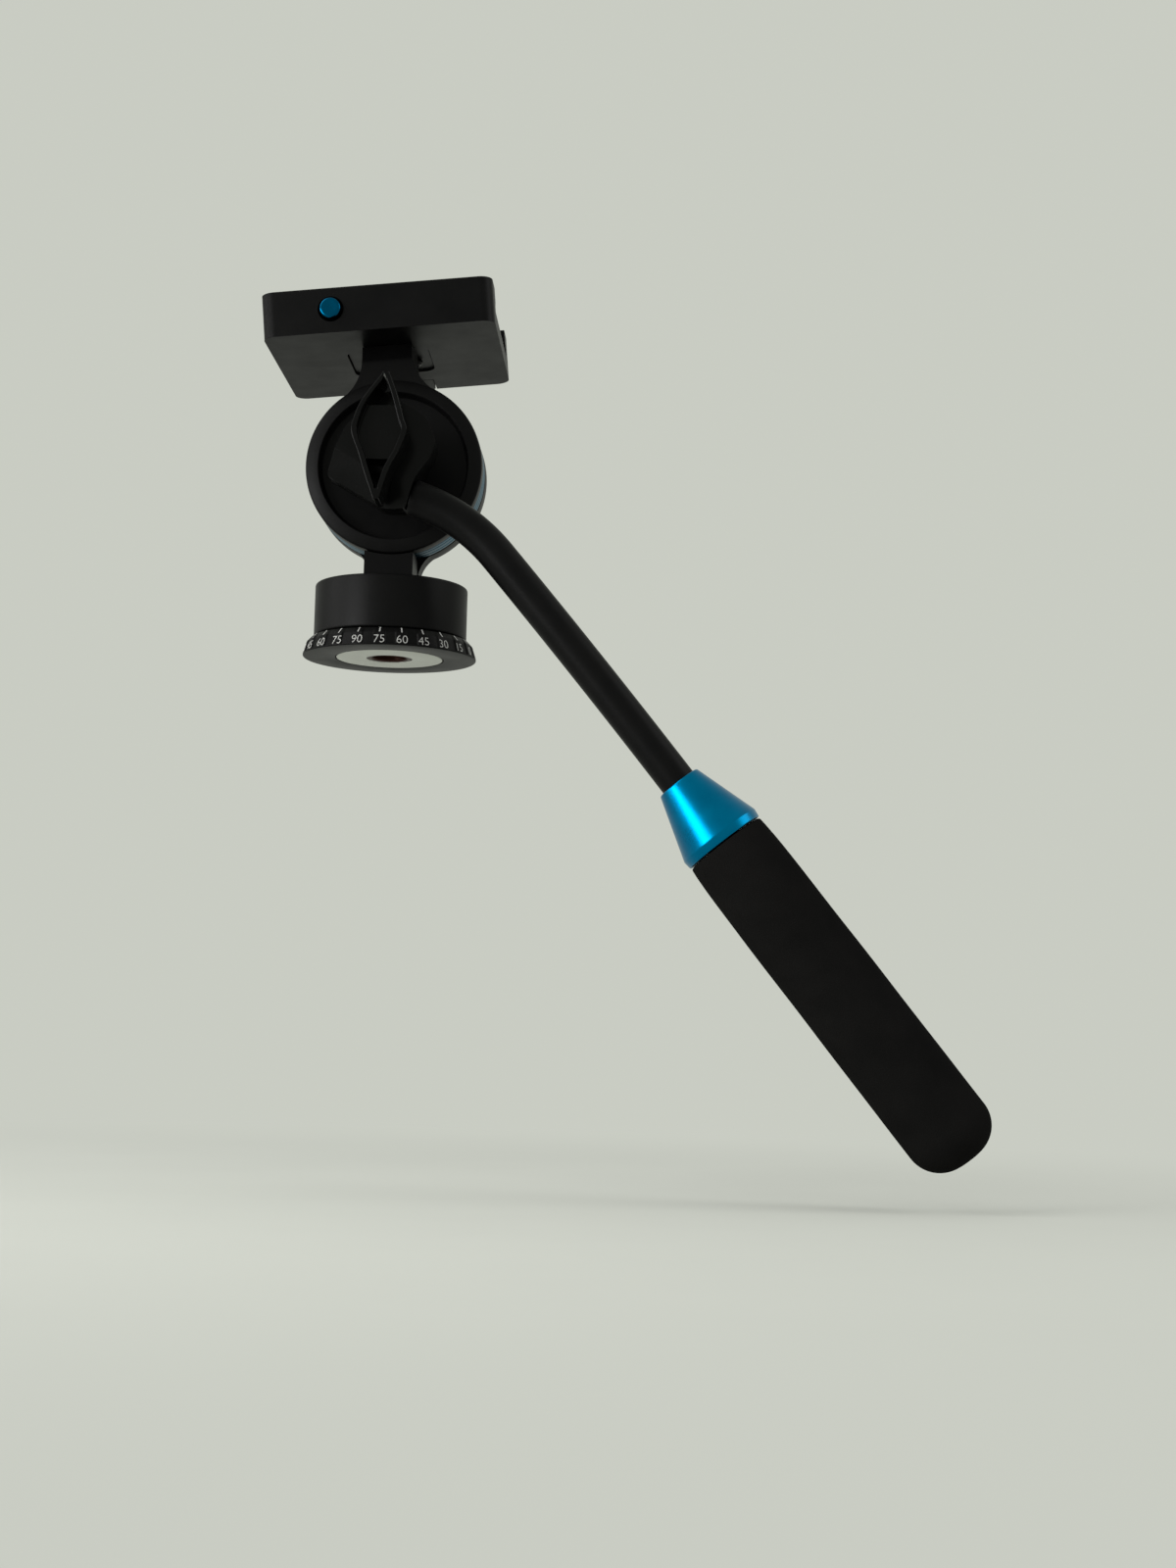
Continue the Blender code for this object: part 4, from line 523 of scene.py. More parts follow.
def dress(piece: Piece, finish: Finish, body: str, *nodes: str, place: Matrix = ON_BASE) -> None:
    """Gives a piece its finish and its place, and lets it ride on its body.

    Args:
        piece: The piece, in its sub-assembly's frame.
        finish: Its finish.
        body: Body that it rides on.
        nodes: Solids that it stands for.
        place: Its sub-assembly's frame.
    """
    piece.data.transform(place)
    paint(piece, finish)
    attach(piece, body)
    if nodes:
        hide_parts(*nodes)
    LOG.info("%s rides on %s, %d faces", piece.name, body, len(piece.data.polygons))


def dress_nodes(finish: Finish, *nodes: str) -> None:
    """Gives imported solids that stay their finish."""
    for node in nodes:
        paint(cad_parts[node], finish)
        LOG.info("%s keeps its solid", node)


def coil(section: Callable[[int], Iterable[Flat]], ends: Flat, counts: tuple[int, int], axis: Axis,
         centre: Sequence[float]) -> Body:
    """Winds a wire or a ridge round an axis.

    Args:
        section: Gives the section's (radius, shift along the axis) points at a row.
        ends: Where the coil starts and ends along the axis.
        counts: Rows in all and rows of one turn.
        axis: The coil's axis.
        centre: Point on the axis.

    Returns:
        The coil as a body.
    """
    rows = []
    for index in range(counts[0] + 1):
        angle = math.tau * index / counts[1]
        along = ends[0] + (ends[1] - ends[0]) * index / counts[0]
        rows.append([axis.point(reach * math.cos(angle), reach * math.sin(angle), along + shift) + Vector(centre)
                     for reach, shift in section(index)])
    return Body().tube(rows)


def thread(radius: float, depth: float, pitch: float, ends: Flat, centre: Sequence[float], steps: int) -> Body:
    """Winds one closed thread ridge about Z.

    Args:
        radius: Radius of the ridge's foot, sunk a little into its core.
        depth: How far the ridge stands out; negative for a thread inside a hole.
        pitch: Rise of one turn.
        ends: Where the thread starts and ends.
        centre: Point on the axis.
        steps: Rows of one turn.

    Returns:
        The ridge as a body.
    """
    count = int((ends[1] - ends[0]) / pitch * steps)

    def section(index: int) -> list[Flat]:
        taper = min(1.0, index / (steps / 3), (count - index) / (steps / 3))
        crest = radius + depth * max(taper, 0.05)
        return [(radius, -0.45 * pitch), (crest, -0.08 * pitch), (crest, 0.08 * pitch), (radius, 0.45 * pitch)]

    return coil(section, ends, (count, steps), Axis.Z, centre)


# What repeats

def copy_tree(material: bpy.types.Material) -> bpy.types.NodeTree:
    """Builds the geometry nodes that set copies of a piece in a row, or in a ring about Z, facing outwards."""
    tree = bpy.data.node_groups.new("row_or_ring_of_copies", "GeometryNodeTree")
    kinds = {"Geometry": "Geometry", "Count": "Int", "Step X": "Float", "Step Y": "Float", "First Angle": "Float",
             "Turn": "Float"}
    for name, kind in kinds.items():
        tree.interface.new_socket(name, in_out="INPUT", socket_type="NodeSocket" + kind)
    tree.interface.new_socket("Geometry", in_out="OUTPUT", socket_type="NodeSocketGeometry")
    nodes = Nodes(tree)
    entry = nodes.add("NodeGroupInput").outputs
    offset = nodes.vector(X=entry["Step X"], Y=entry["Step Y"])
    line = nodes.add("GeometryNodeMeshLine", {"Count": entry["Count"], "Offset": offset}, mode="OFFSET")
    index = nodes.add("GeometryNodeInputIndex").outputs["Index"]
    turn = nodes.vector(Z=nodes.calc("MULTIPLY_ADD", index, entry["Turn"], entry["First Angle"]))
    copies = nodes.add("GeometryNodeInstanceOnPoints", {"Points": line.outputs["Mesh"], "Instance": entry["Geometry"],
                                                        "Rotation": turn})
    real = nodes.add("GeometryNodeRealizeInstances", {"Geometry": copies.outputs["Instances"]})
    inked = nodes.add("GeometryNodeSetMaterial", {"Geometry": real.outputs["Geometry"], "Material": material})
    nodes.add("NodeGroupOutput", {"Geometry": inked.outputs["Geometry"]})
    return tree


def repeat(piece: Piece, finish: Finish, values: dict[str, float]) -> None:
    """Sets copies of a piece by the tree's named inputs, and keeps the plain mesh."""
    modifier = piece.modifiers.new("copies", "NODES")
    modifier.node_group = copy_tree(finish.material())
    for item in modifier.node_group.interface.items_tree:
        if item.in_out == "INPUT" and item.name in values:
            modifier[item.identifier] = values[item.name]
    settle(piece)


# Pan base

@dataclass
class PanBase:
    """The fixed base: ring with its dial, pale seat, tapped bush and spindle."""

    radius: float = 22.5 * MM
    top_radius: float = 20.3 * MM
    height: float = 4.78 * MM
    edge: float = 0.18 * MM
    rounding: float = 0.12 * MM
    band_radius: float = 21.6 * MM
    band_height: float = 3.4 * MM
    seat_radius: float = 13.77 * MM
    seat_thickness: float = 1.6 * MM
    hole_radius: float = 5.92 * MM
    bush_radius: float = 4.55 * MM
    bush_chamfer: float = 0.35 * MM
    thread_depth: float = 0.5 * MM
    thread_sink: float = 0.05 * MM
    thread_pitch: float = 1.588 * MM
    bush_bottom: float = 0.15 * MM
    bush_top: float = 10.1 * MM
    spindle_radius: float = 8.5 * MM
    flange_radius: float = 11.0 * MM
    flange_top: float = 3.0 * MM
    pad_count: int = 24
    pad_steps: int = 16
    flat_share: float = 0.5
    flat_depth: float = 0.35 * MM
    band_margin: float = 0.3 * MM
    dial_start: float = math.radians(-90)
    dial_step: int = 15
    dial_end: int = 90
    foot: float = 0.45 * MM
    digit_height: float = 2.3 * MM
    digit_share: float = 0.72
    digit_low: float = 0.08 * MM
    digit_thinning: float = -0.04 * MM
    tick_width: float = 0.34 * MM
    tick_inset: float = 0.05 * MM
    ink: float = 0.04 * MM

    def build(self) -> None:
        """Builds and dresses the base."""
        self.ring()
        self.seat()
        self.bush()
        self.ticks()
        self.numbers()
        dress_nodes(BRIGHT_STEEL, "pan_spindle", "spindle_nut")

    def wave(self, radius: float, along: float, angle: float) -> float:
        """Presses the band in between the pads that carry the dial's numbers."""
        on_band = self.foot * 0.9 < along < self.band_height + self.band_margin and radius > self.top_radius
        pitch = math.tau / self.pad_count
        offset = abs((angle - self.dial_start) % pitch - pitch / 2) / pitch
        return radius - self.flat_depth if on_band and offset < self.flat_share / 2 else radius

    def ring(self) -> None:
        """Builds the base ring with its notched band."""
        around, inner, flange = (size + GAP for size in (self.seat_radius, self.spindle_radius, self.flange_radius))
        floor = self.seat_thickness + GAP
        shelf = self.flange_top + GAP
        profile = [
            (around, 0.0), (self.radius - self.edge, 0.0), (self.radius, self.edge),
            (self.radius, self.foot), (self.band_radius, self.band_height),
            (self.top_radius, self.height), (inner, self.height), (inner, shelf), (flange, shelf), (flange, floor),
            (around, floor),
        ]
        ring = Body().turn(rimmed(profile, self.rounding, 2), steps=self.pad_count * self.pad_steps, wave=self.wave)
        dress(smooth(ring.done("base_ring_shell")), SATIN_BLACK, "base", "base_ring")

    def seat(self) -> None:
        """Builds the pale turned ring that rests on the tripod."""
        profile = stairs(self.hole_radius, 0.0, self.seat_radius, self.seat_thickness, self.hole_radius)
        ring = Body().turn(rimmed(profile, self.edge), steps=160).done("seat_ring")
        dress(smooth(ring), PALE_SILVER, "base", "seat_plate")

    def bush(self) -> None:
        """Builds the tapped bush with its thread ridge."""
        outer = self.hole_radius - GAP
        profile = [(self.bush_radius + self.bush_chamfer, self.bush_bottom), (outer, self.bush_bottom),
                   (outer, self.bush_top), (self.bush_radius, self.bush_top),
                   (self.bush_radius, self.bush_bottom + self.bush_chamfer)]
        bush = Body().turn(profile, steps=72).done("tapped_bush")
        ends = (self.bush_bottom + self.thread_pitch, self.bush_top - self.thread_pitch)
        carve(bush, thread(self.bush_radius + self.thread_sink, -self.thread_depth, self.thread_pitch, ends, ORIGIN,
                           36), JOIN)
        dress(smooth(bush), RED_BRASS, "base", "thread_insert")

    def slope(self, face: tuple[Flat, Flat], across: float, up: float, out: float, heading: float) -> Vector:
        """Places a point on a conical face of the ring.

        Args:
            face: Radius and height of the face's lower edge, and of its upper edge.
            across: Way along the face's round, to the right as seen from outside.
            up: Way up the slope from its lower edge.
            out: Height over the face.
            heading: Angle about the pan axis of the middle.

        Returns:
            The point.
        """
        low, high = face
        run = Vector((high[0] - low[0], high[1] - low[1])).normalized()
        radius = low[0] + up * run.x + out * run.y
        angle = heading + across / low[0]
        return Vector((radius * math.cos(angle), radius * math.sin(angle), low[1] + up * run.y - out * run.x))

    def ticks(self) -> None:
        """Sets the dial's white ticks on the upper slope, one above each number."""
        face = (self.band_radius, self.band_height), (self.top_radius, self.height)
        half = self.tick_width / 2
        corners = stairs(-half, -self.ink, half, self.ink, -half)
        rows = [[self.slope(face, across, up, out, 0.0) for across, out in corners]
                for up in (self.tick_inset, math.dist(*face) - self.tick_inset)]
        ticks = Body().tube(rows).done("dial_ticks")
        repeat(ticks, WHITE_INK, {"Count": self.pad_count, "First Angle": self.dial_start,
                                  "Turn": math.tau / self.pad_count})
        dress(ticks, WHITE_INK, "base")

    def numbers(self) -> None:
        """Wraps the dial's numbers round the band, readable from outside."""
        shape = bmesh.new()
        for index in range(self.pad_count):
            label = abs(self.dial_end - self.dial_step * ((index + 1) % (self.pad_count // 2)))
            self.add_label(shape, str(label), self.dial_start + math.radians(self.dial_step * index))
        mesh = bpy.data.meshes.new("dial_numbers")
        shape.to_mesh(mesh)
        shape.free()
        dress(added("dial_numbers", mesh), WHITE_INK, "base")

    def add_label(self, shape: bmesh.types.BMesh, label: str, heading: float) -> None:
        """Adds one number to the mesh of all the numbers, with its middle at an angle about the pan axis."""
        face = (self.radius, self.foot), (self.band_radius, self.band_height)
        curve = bpy.data.curves.new("label", "FONT")
        curve.body = label
        curve.align_x = "CENTER"
        curve.size = self.digit_height / self.digit_share
        curve.resolution_u = 4
        curve.extrude = self.ink
        curve.offset = self.digit_thinning
        text = added("label", curve)
        mesh = plain_mesh(text)
        for vertex in mesh.vertices:
            across, up, out = vertex.co
            vertex.co = self.slope(face, across, up + self.digit_low, out, heading)
        shape.from_mesh(mesh)
        bmesh.ops.remove_doubles(shape, verts=shape.verts, dist=1e-7)
        bpy.data.objects.remove(text)
        bpy.data.curves.remove(curve)
        bpy.data.meshes.remove(mesh)


# Lobed knobs, on the far side

@dataclass
class LobedKnob:
    """A knob with round lobes, a plain collar, a dished end and a flat cap."""

    name: str
    radius: float
    collar: float
    bore: float
    front: float
    length: float
    depth: float
    grip: float = 6.0 * MM
    edge: float = 0.9 * MM
    rounding: float = 0.5 * MM
    lobes: int = 6
    lobe_share: float = 0.16
    rim_share: float = 0.86
    dish: float = 0.5 * MM
    steps: int = 168

    def wave(self, radius: float, _along: float, angle: float) -> float:
        """Scallops what lies outside the collar."""
        if radius <= self.collar:
            return radius
        share = self.lobe_share * (1 - math.cos(self.lobes * angle)) / 2
        return max(radius * (1 - share), self.collar * 0.999)

    def build(self, body: str, node: str, place: Matrix, height: float = 0.0) -> None:
        """Builds the knob at a height in its frame and dresses it."""
        start = self.front + self.length - self.grip
        back = self.front + self.length
        rim = self.collar * self.rim_share
        profile = [
            *stairs(0.0, self.front + self.depth, self.bore, self.front, self.collar),
            (self.collar, start - self.edge), (self.radius - self.edge, start),
            (self.radius, start + self.edge), (self.radius, back - self.edge), (self.radius - self.edge, back),
            (rim, back), (rim - self.dish, back - self.dish), (0.0, back - self.dish),
        ]
        knob = Body().turn(rimmed(profile, self.rounding), Axis.Y, self.steps, (0.0, 0.0, height), self.wave)
        dress(smooth(knob.done(self.name), WIDE_ANGLE), SATIN_BLACK, body, node, place=place)


# Pan housing

@dataclass
class PanHousing:
    """The drum that turns on the base, with its level and its lock."""

    radius: float = 19.82 * MM
    bottom: float = 5.08 * MM
    top: float = 18.85 * MM
    edge: float = 0.7 * MM
    softening: float = 0.22 * MM
    spindle_radius: float = 8.5 * MM
    bush_radius: float = 11.0 * MM
    bush_top: float = 8.38 * MM
    washer_top: float = 6.18 * MM
    washer_radius: float = 16.9 * MM
    chamber_radius: float = 9.9 * MM
    chamber_low: float = 12.7 * MM
    chamber_top: float = 16.1 * MM
    boss_radius: float = 4.8 * MM
    boss_end: float = 22.82 * MM
    boss_start: float = 17.02 * MM
    lock_z: float = 11.28 * MM
    shoe: Flat = (7.0 * MM, 4.2 * MM)
    shoe_back: float = 13.0 * MM
    screw_radius: float = 2.4 * MM
    vial_radius: float = 4.2 * MM
    vial_reach: float = 13.8 * MM
    vial_heading: float = math.radians(152)
    vial_depth: float = 1.3 * MM
    vial_height: float = 1.8 * MM
    vial_rim: float = 0.2 * MM
    bezel_share: float = 0.8
    dome_depth: float = 0.6 * MM
    dome_rise: float = 0.5 * MM
    dome_play: float = 0.02 * MM
    dome_drop: float = 0.1 * MM
    mark: Flat = (1.15 * MM, 1.35 * MM)
    mark_drops: Flat = (0.2 * MM, 0.05 * MM)
    knob_radius: float = 7.8 * MM
    knob_collar: float = 5.0 * MM
    knob_length: float = 10.5 * MM
    knob_depth: float = 7.5 * MM

    def build(self) -> None:
        """Builds and dresses the pan body and its lock."""
        self.drum()
        self.level()
        dress_nodes(BRONZE, "pan_bush", "pan_brake_shoe")
        dress_nodes(WHITE_NYLON, "pan_drag_washer")
        dress_nodes(BRIGHT_STEEL, "pan_lock_screw")
        knob = LobedKnob("pan_lock_grip", self.knob_radius, self.knob_collar, self.screw_radius + GAP,
                         self.boss_end + GAP, self.knob_length, self.knob_depth)
        knob.build("pan_lock", "pan_lock_knob", ON_BASE, self.lock_z)

    def vial_centre(self) -> Place:
        """Gives the level's place on the drum."""
        return (self.vial_reach * math.cos(self.vial_heading), self.vial_reach * math.sin(self.vial_heading), 0.0)

    def drum(self) -> None:
        """Builds the drum with its boss, bores and pockets."""
        bores = stairs(0.0, self.chamber_top, self.chamber_radius, self.chamber_low, self.spindle_radius + GAP,
                       self.bush_top, self.bush_radius + GAP, self.washer_top, self.washer_radius)
        skin = rounded(stairs(self.washer_radius, self.bottom, self.radius, self.top, 0.0), self.edge, 6)
        drum = Body().turn(bores + skin, steps=152).done("pan_housing_shell")
        bore(drum, self.vial_radius + GAP, self.top - self.vial_depth - GAP, self.top + OVERRUN, 47,
             self.vial_centre(), Axis.Z)
        centre = (0.0, 0.0, self.lock_z)
        bore(drum, self.boss_radius, self.boss_start, self.boss_end, 61, centre, operation=JOIN)
        half, tall = self.shoe[0] / 2 + GAP, self.shoe[1] / 2 + GAP
        slot = stairs(-half, self.lock_z - tall, half, self.lock_z + tall, -half)
        carve(drum, Body().extrude(slot, self.spindle_radius - OVERRUN, self.shoe_back + GAP))
        bore(drum, self.screw_radius + GAP, self.shoe_back - OVERRUN, self.boss_end + OVERRUN, 43, centre)
        dress(soften(drum, self.softening), SATIN_BLACK, "pan", "pan_housing")

    def level(self) -> None:
        """Builds the round level: domed vial, bubble ring and bezel."""
        low = self.top - self.vial_depth
        high = low + self.vial_height
        bezel = self.vial_radius * self.bezel_share
        edge = bezel - self.dome_play
        foot = high - self.dome_depth
        case = [*stairs(bezel, low, self.vial_radius, high), (bezel, high - self.vial_rim)]
        dome = stairs(0.0, low, edge, foot)
        dome += [(bezel * share, foot + self.dome_rise * math.sqrt(1 - share ** 2)) for share in (0.9, 0.7, 0.4)]
        dome += [(0.0, high - self.dome_drop)]
        under, over = (high - drop for drop in self.mark_drops)
        ring = stairs(self.mark[0], under, self.mark[1], over, self.mark[0])
        for name, profile, steps, angle, finish, nodes in (
            ("level_bezel", rimmed(case, self.vial_rim), 64, SMOOTH_ANGLE, SATIN_BLACK, ("level_vial",)),
            ("level_dome", dome, 64, WIDEST_ANGLE, LEVEL_LIQUID, ()),
            ("level_ring", ring, 48, SMOOTH_ANGLE, GLOSS_BLACK, ()),
        ):
            piece = Body().turn(profile, Axis.Z, steps, self.vial_centre()).done(name)
            dress(smooth(piece, angle), finish, "pan", *nodes)


# Tilt discs

def neck_outline(disc: float, inner: float, halves: Flat, fillet: float, end: float, side: int) -> list[Flat]:
    """Gives the (x, z) outline of a neck that flares into a disc.

    Args:
        disc: Radius of the disc that the fillets meet.
        inner: Radius where the outline ends inside the disc.
        halves: How far the neck reaches to the left and to the right of the disc's centre.
        fillet: Radius of the two fillets.
        end: Height of the neck's end over the disc's centre.
        side: 1 for a neck that stands up and -1 for one that hangs down.

    Returns:
        The closed outline.
    """
    flanks = []
    for half in halves:
        centre_x = half + fillet
        centre_z = math.sqrt((disc - GAP + fillet) ** 2 - centre_x ** 2)
        heading = math.atan2(centre_z, centre_x)
        flanks.append((heading, arc((centre_x, centre_z), fillet, heading - math.pi, -math.pi, 12)))
    (turn_left, left), (turn_right, right) = flanks
    inside = arc((0.0, 0.0), inner, math.pi - turn_left, turn_right, 12)
    outline = [(halves[1], end), *reversed(right), *reversed(inside)]
    outline += [(-x, z) for x, z in left] + [(-halves[0], end)]
    return [(x, side * z) for x, z in outline]


@dataclass
class TiltDiscs:
    """The far disc on the lower neck, the coloured ring, and the near disc with the upper neck."""

    rise: float = 30.41 * MM
    saddle: float = 23.3 * MM
    softening: float = 0.2 * MM
    disc_steps: int = 157
    saddle_steps: int = 143
    neck_depth: float = 8.8 * MM
    far_radius: float = 22.9 * MM
    far_front: float = 2.7 * MM
    far_back: float = 8.86 * MM
    far_edge: float = 0.7 * MM
    far_rim: float = 3.8 * MM
    far_recess: float = 1.2 * MM
    lower_halves: Flat = (6.8 * MM, 5.8 * MM)
    lower_fillet: float = 9.0 * MM
    bore: float = 4.3 * MM
    ring_radius: float = 22.85 * MM
    ring_inner: float = 17.0 * MM
    ring_step: float = 1.2 * MM
    ring_play: float = 0.04 * MM
    ring_front: float = -4.2 * MM
    ring_back: float = 2.4 * MM
    ring_groove: float = 0.22 * MM
    ring_rounding: float = 0.2 * MM
    near_radius: float = 22.94 * MM
    near_edge: float = -8.84 * MM
    near_rim: float = -9.9 * MM
    near_rim_radius: float = 19.44 * MM
    near_rounding: float = 0.45 * MM
    recess: float = -6.5 * MM
    recess_radius: float = 18.9 * MM
    near_back: float = -4.5 * MM
    bolt_bore: float = 2.8 * MM
    hub_radius: float = 8.0 * MM
    hub_bore: float = 5.9 * MM
    web: Flat = (-2.3 * MM, -1.5 * MM)
    hub_back: float = 1.2 * MM
    upper_half: float = 6.5 * MM
    upper_fillet: float = 13.0 * MM
    neck_top: float = 34.43 * MM
    slope_low: float = 28.46 * MM
    roof: float = 32.96 * MM
    slope_depth: float = 2.2 * MM
    flange: Span = (-11.15 * MM, 9.85 * MM, -1.8 * MM, 19.3 * MM)
    flange_z: Flat = (33.9 * MM, 34.96 * MM)
    flange_corner: float = 2.7 * MM
    screw_hole: float = 1.2 * MM
    knob: Span = (11.5 * MM, 8.7 * MM, 13.0 * MM, 10.8 * MM)
    knob_gap: float = 1.7 * MM

    def build(self) -> None:
        """Builds and dresses both discs, the ring and the tilt lock."""
        self.far_disc()
        self.drag_ring()
        self.near_disc()
        dress_nodes(BRIGHT_STEEL, "tilt_axle", "damping_disc_near", "damping_disc_far", "thrust_washer")
        dress_nodes(WHITE_NYLON, "friction_washer")
        dress_nodes(BRONZE, "tilt_bush")
        radius, collar, length, depth = self.knob
        front = self.far_back - self.far_recess + self.knob_gap
        knob = LobedKnob("tilt_lock_grip", radius, collar, self.bore, front, length, depth)
        knob.build("tilt_lock", "tilt_lock_knob", ON_TILT_AXIS)

    def far_disc(self) -> None:
        """Builds the far disc with the lower neck."""
        rim = self.far_radius - self.far_rim
        floor = self.far_back - self.far_recess
        profile = [
            *stairs(self.bore, self.far_front, self.far_radius, self.far_back, rim),
            (rim - self.far_recess, floor), (self.bore, floor),
        ]
        disc = Body().turn(rounded(profile, self.far_edge, 5), Axis.Y, self.disc_steps).done("far_disc")
        middle = self.far_radius - self.far_rim / 2
        foot = self.rise - GAP
        flare = neck_outline(self.far_radius, middle, self.lower_halves, self.lower_fillet, foot, -1)
        carve(disc, Body().extrude(flare, self.far_front + GAP, self.neck_depth), JOIN)
        left, right = self.lower_halves
        block = stairs(-left, -foot, right, -middle, -left)
        near = Body().extrude(block, -self.neck_depth, self.neck_depth - GAP).done("lower_neck")
        bore(near, self.saddle, -self.neck_depth - OVERRUN, self.far_front + GAP / 2, self.saddle_steps)
        carve(disc, near, JOIN)
        dress(soften(disc, self.softening), SATIN_BLACK, "pan", "lower_yoke", place=ON_TILT_AXIS)

    def drag_ring(self) -> None:
        """Builds the blue ring between the discs, with two fine grooves."""
        width = self.ring_back - self.ring_front
        outer = []
        for share in (0.3, 0.7):
            middle = self.ring_front + width * share
            outer += [(self.ring_radius, middle - self.ring_groove),
                      (self.ring_radius - self.ring_groove, middle),
                      (self.ring_radius, middle + self.ring_groove)]
        shoulder = self.ring_radius - self.ring_step
        front, back = self.near_back + self.ring_play, self.far_front - self.ring_play
        profile = [*stairs(self.ring_inner, front, shoulder, self.ring_front, self.ring_radius), *outer,
                   *stairs(self.ring_radius, self.ring_back, shoulder, back, self.ring_inner)]
        ring = Body().turn(rimmed(profile, self.ring_rounding), Axis.Y, 160).done("drag_ring_band")
        dress(smooth(ring), RING_BLUE, "pan", "drag_ring", place=ON_TILT_AXIS)

    def near_disc(self) -> None:
        """Builds the near disc with the upper neck and the flange."""
        skin = [(self.bolt_bore, self.recess), (self.recess_radius, self.recess),
                (self.near_rim_radius, self.near_rim), (self.near_radius, self.near_edge),
                (self.near_radius, self.near_back), (self.hub_radius, self.near_back)]
        profile = [(0.0, self.web[0]), (self.bolt_bore, self.web[0]), *rounded(skin, self.near_rounding, 3),
                   *stairs(self.hub_radius, self.hub_back, self.hub_bore, self.web[1], 0.0)]
        cheek = Body().turn(profile, Axis.Y, self.disc_steps).done("near_disc")
        middle = (self.near_rim_radius + self.near_radius) / 2
        halves = (self.upper_half, self.upper_half)
        outline = neck_outline(self.near_radius, middle, halves, self.upper_fillet, self.neck_top, 1)
        neck = Body().extrude(outline, -self.neck_depth, self.neck_depth).done("upper_neck")
        bore(neck, self.saddle, self.near_back - GAP / 2, self.neck_depth + OVERRUN, self.saddle_steps)
        front = -self.neck_depth - OVERRUN
        back = -self.neck_depth + self.slope_depth
        over = self.neck_top + OVERRUN
        slope = [(-self.neck_depth, self.slope_low), (back, self.roof), (self.flange[2], self.roof),
                 (self.flange[2], over), (front, over), (front, self.slope_low)]
        wide = self.upper_half + self.upper_fillet
        carve(neck, Body().extrude(slope, -wide, wide, Axis.X))
        carve(cheek, neck, JOIN)
        pad = rounded_rectangle(*self.flange, self.flange_corner, 8)
        carve(cheek, Body().extrude(pad, *self.flange_z, Axis.Z), JOIN)
        holes = Body()
        hole = stairs(0.0, self.flange_z[0] - OVERRUN, self.screw_hole, self.flange_z[1] + OVERRUN, 0.0)
        for place in FLANGE_SCREWS:
            holes.turn(hole, Axis.Z, 32, (*place, 0.0))
        carve(cheek, holes)
        dress(soften(cheek, self.softening), SATIN_BLACK, "tilt", "tilt_cheek", place=ON_PLATFORM)


# Platform

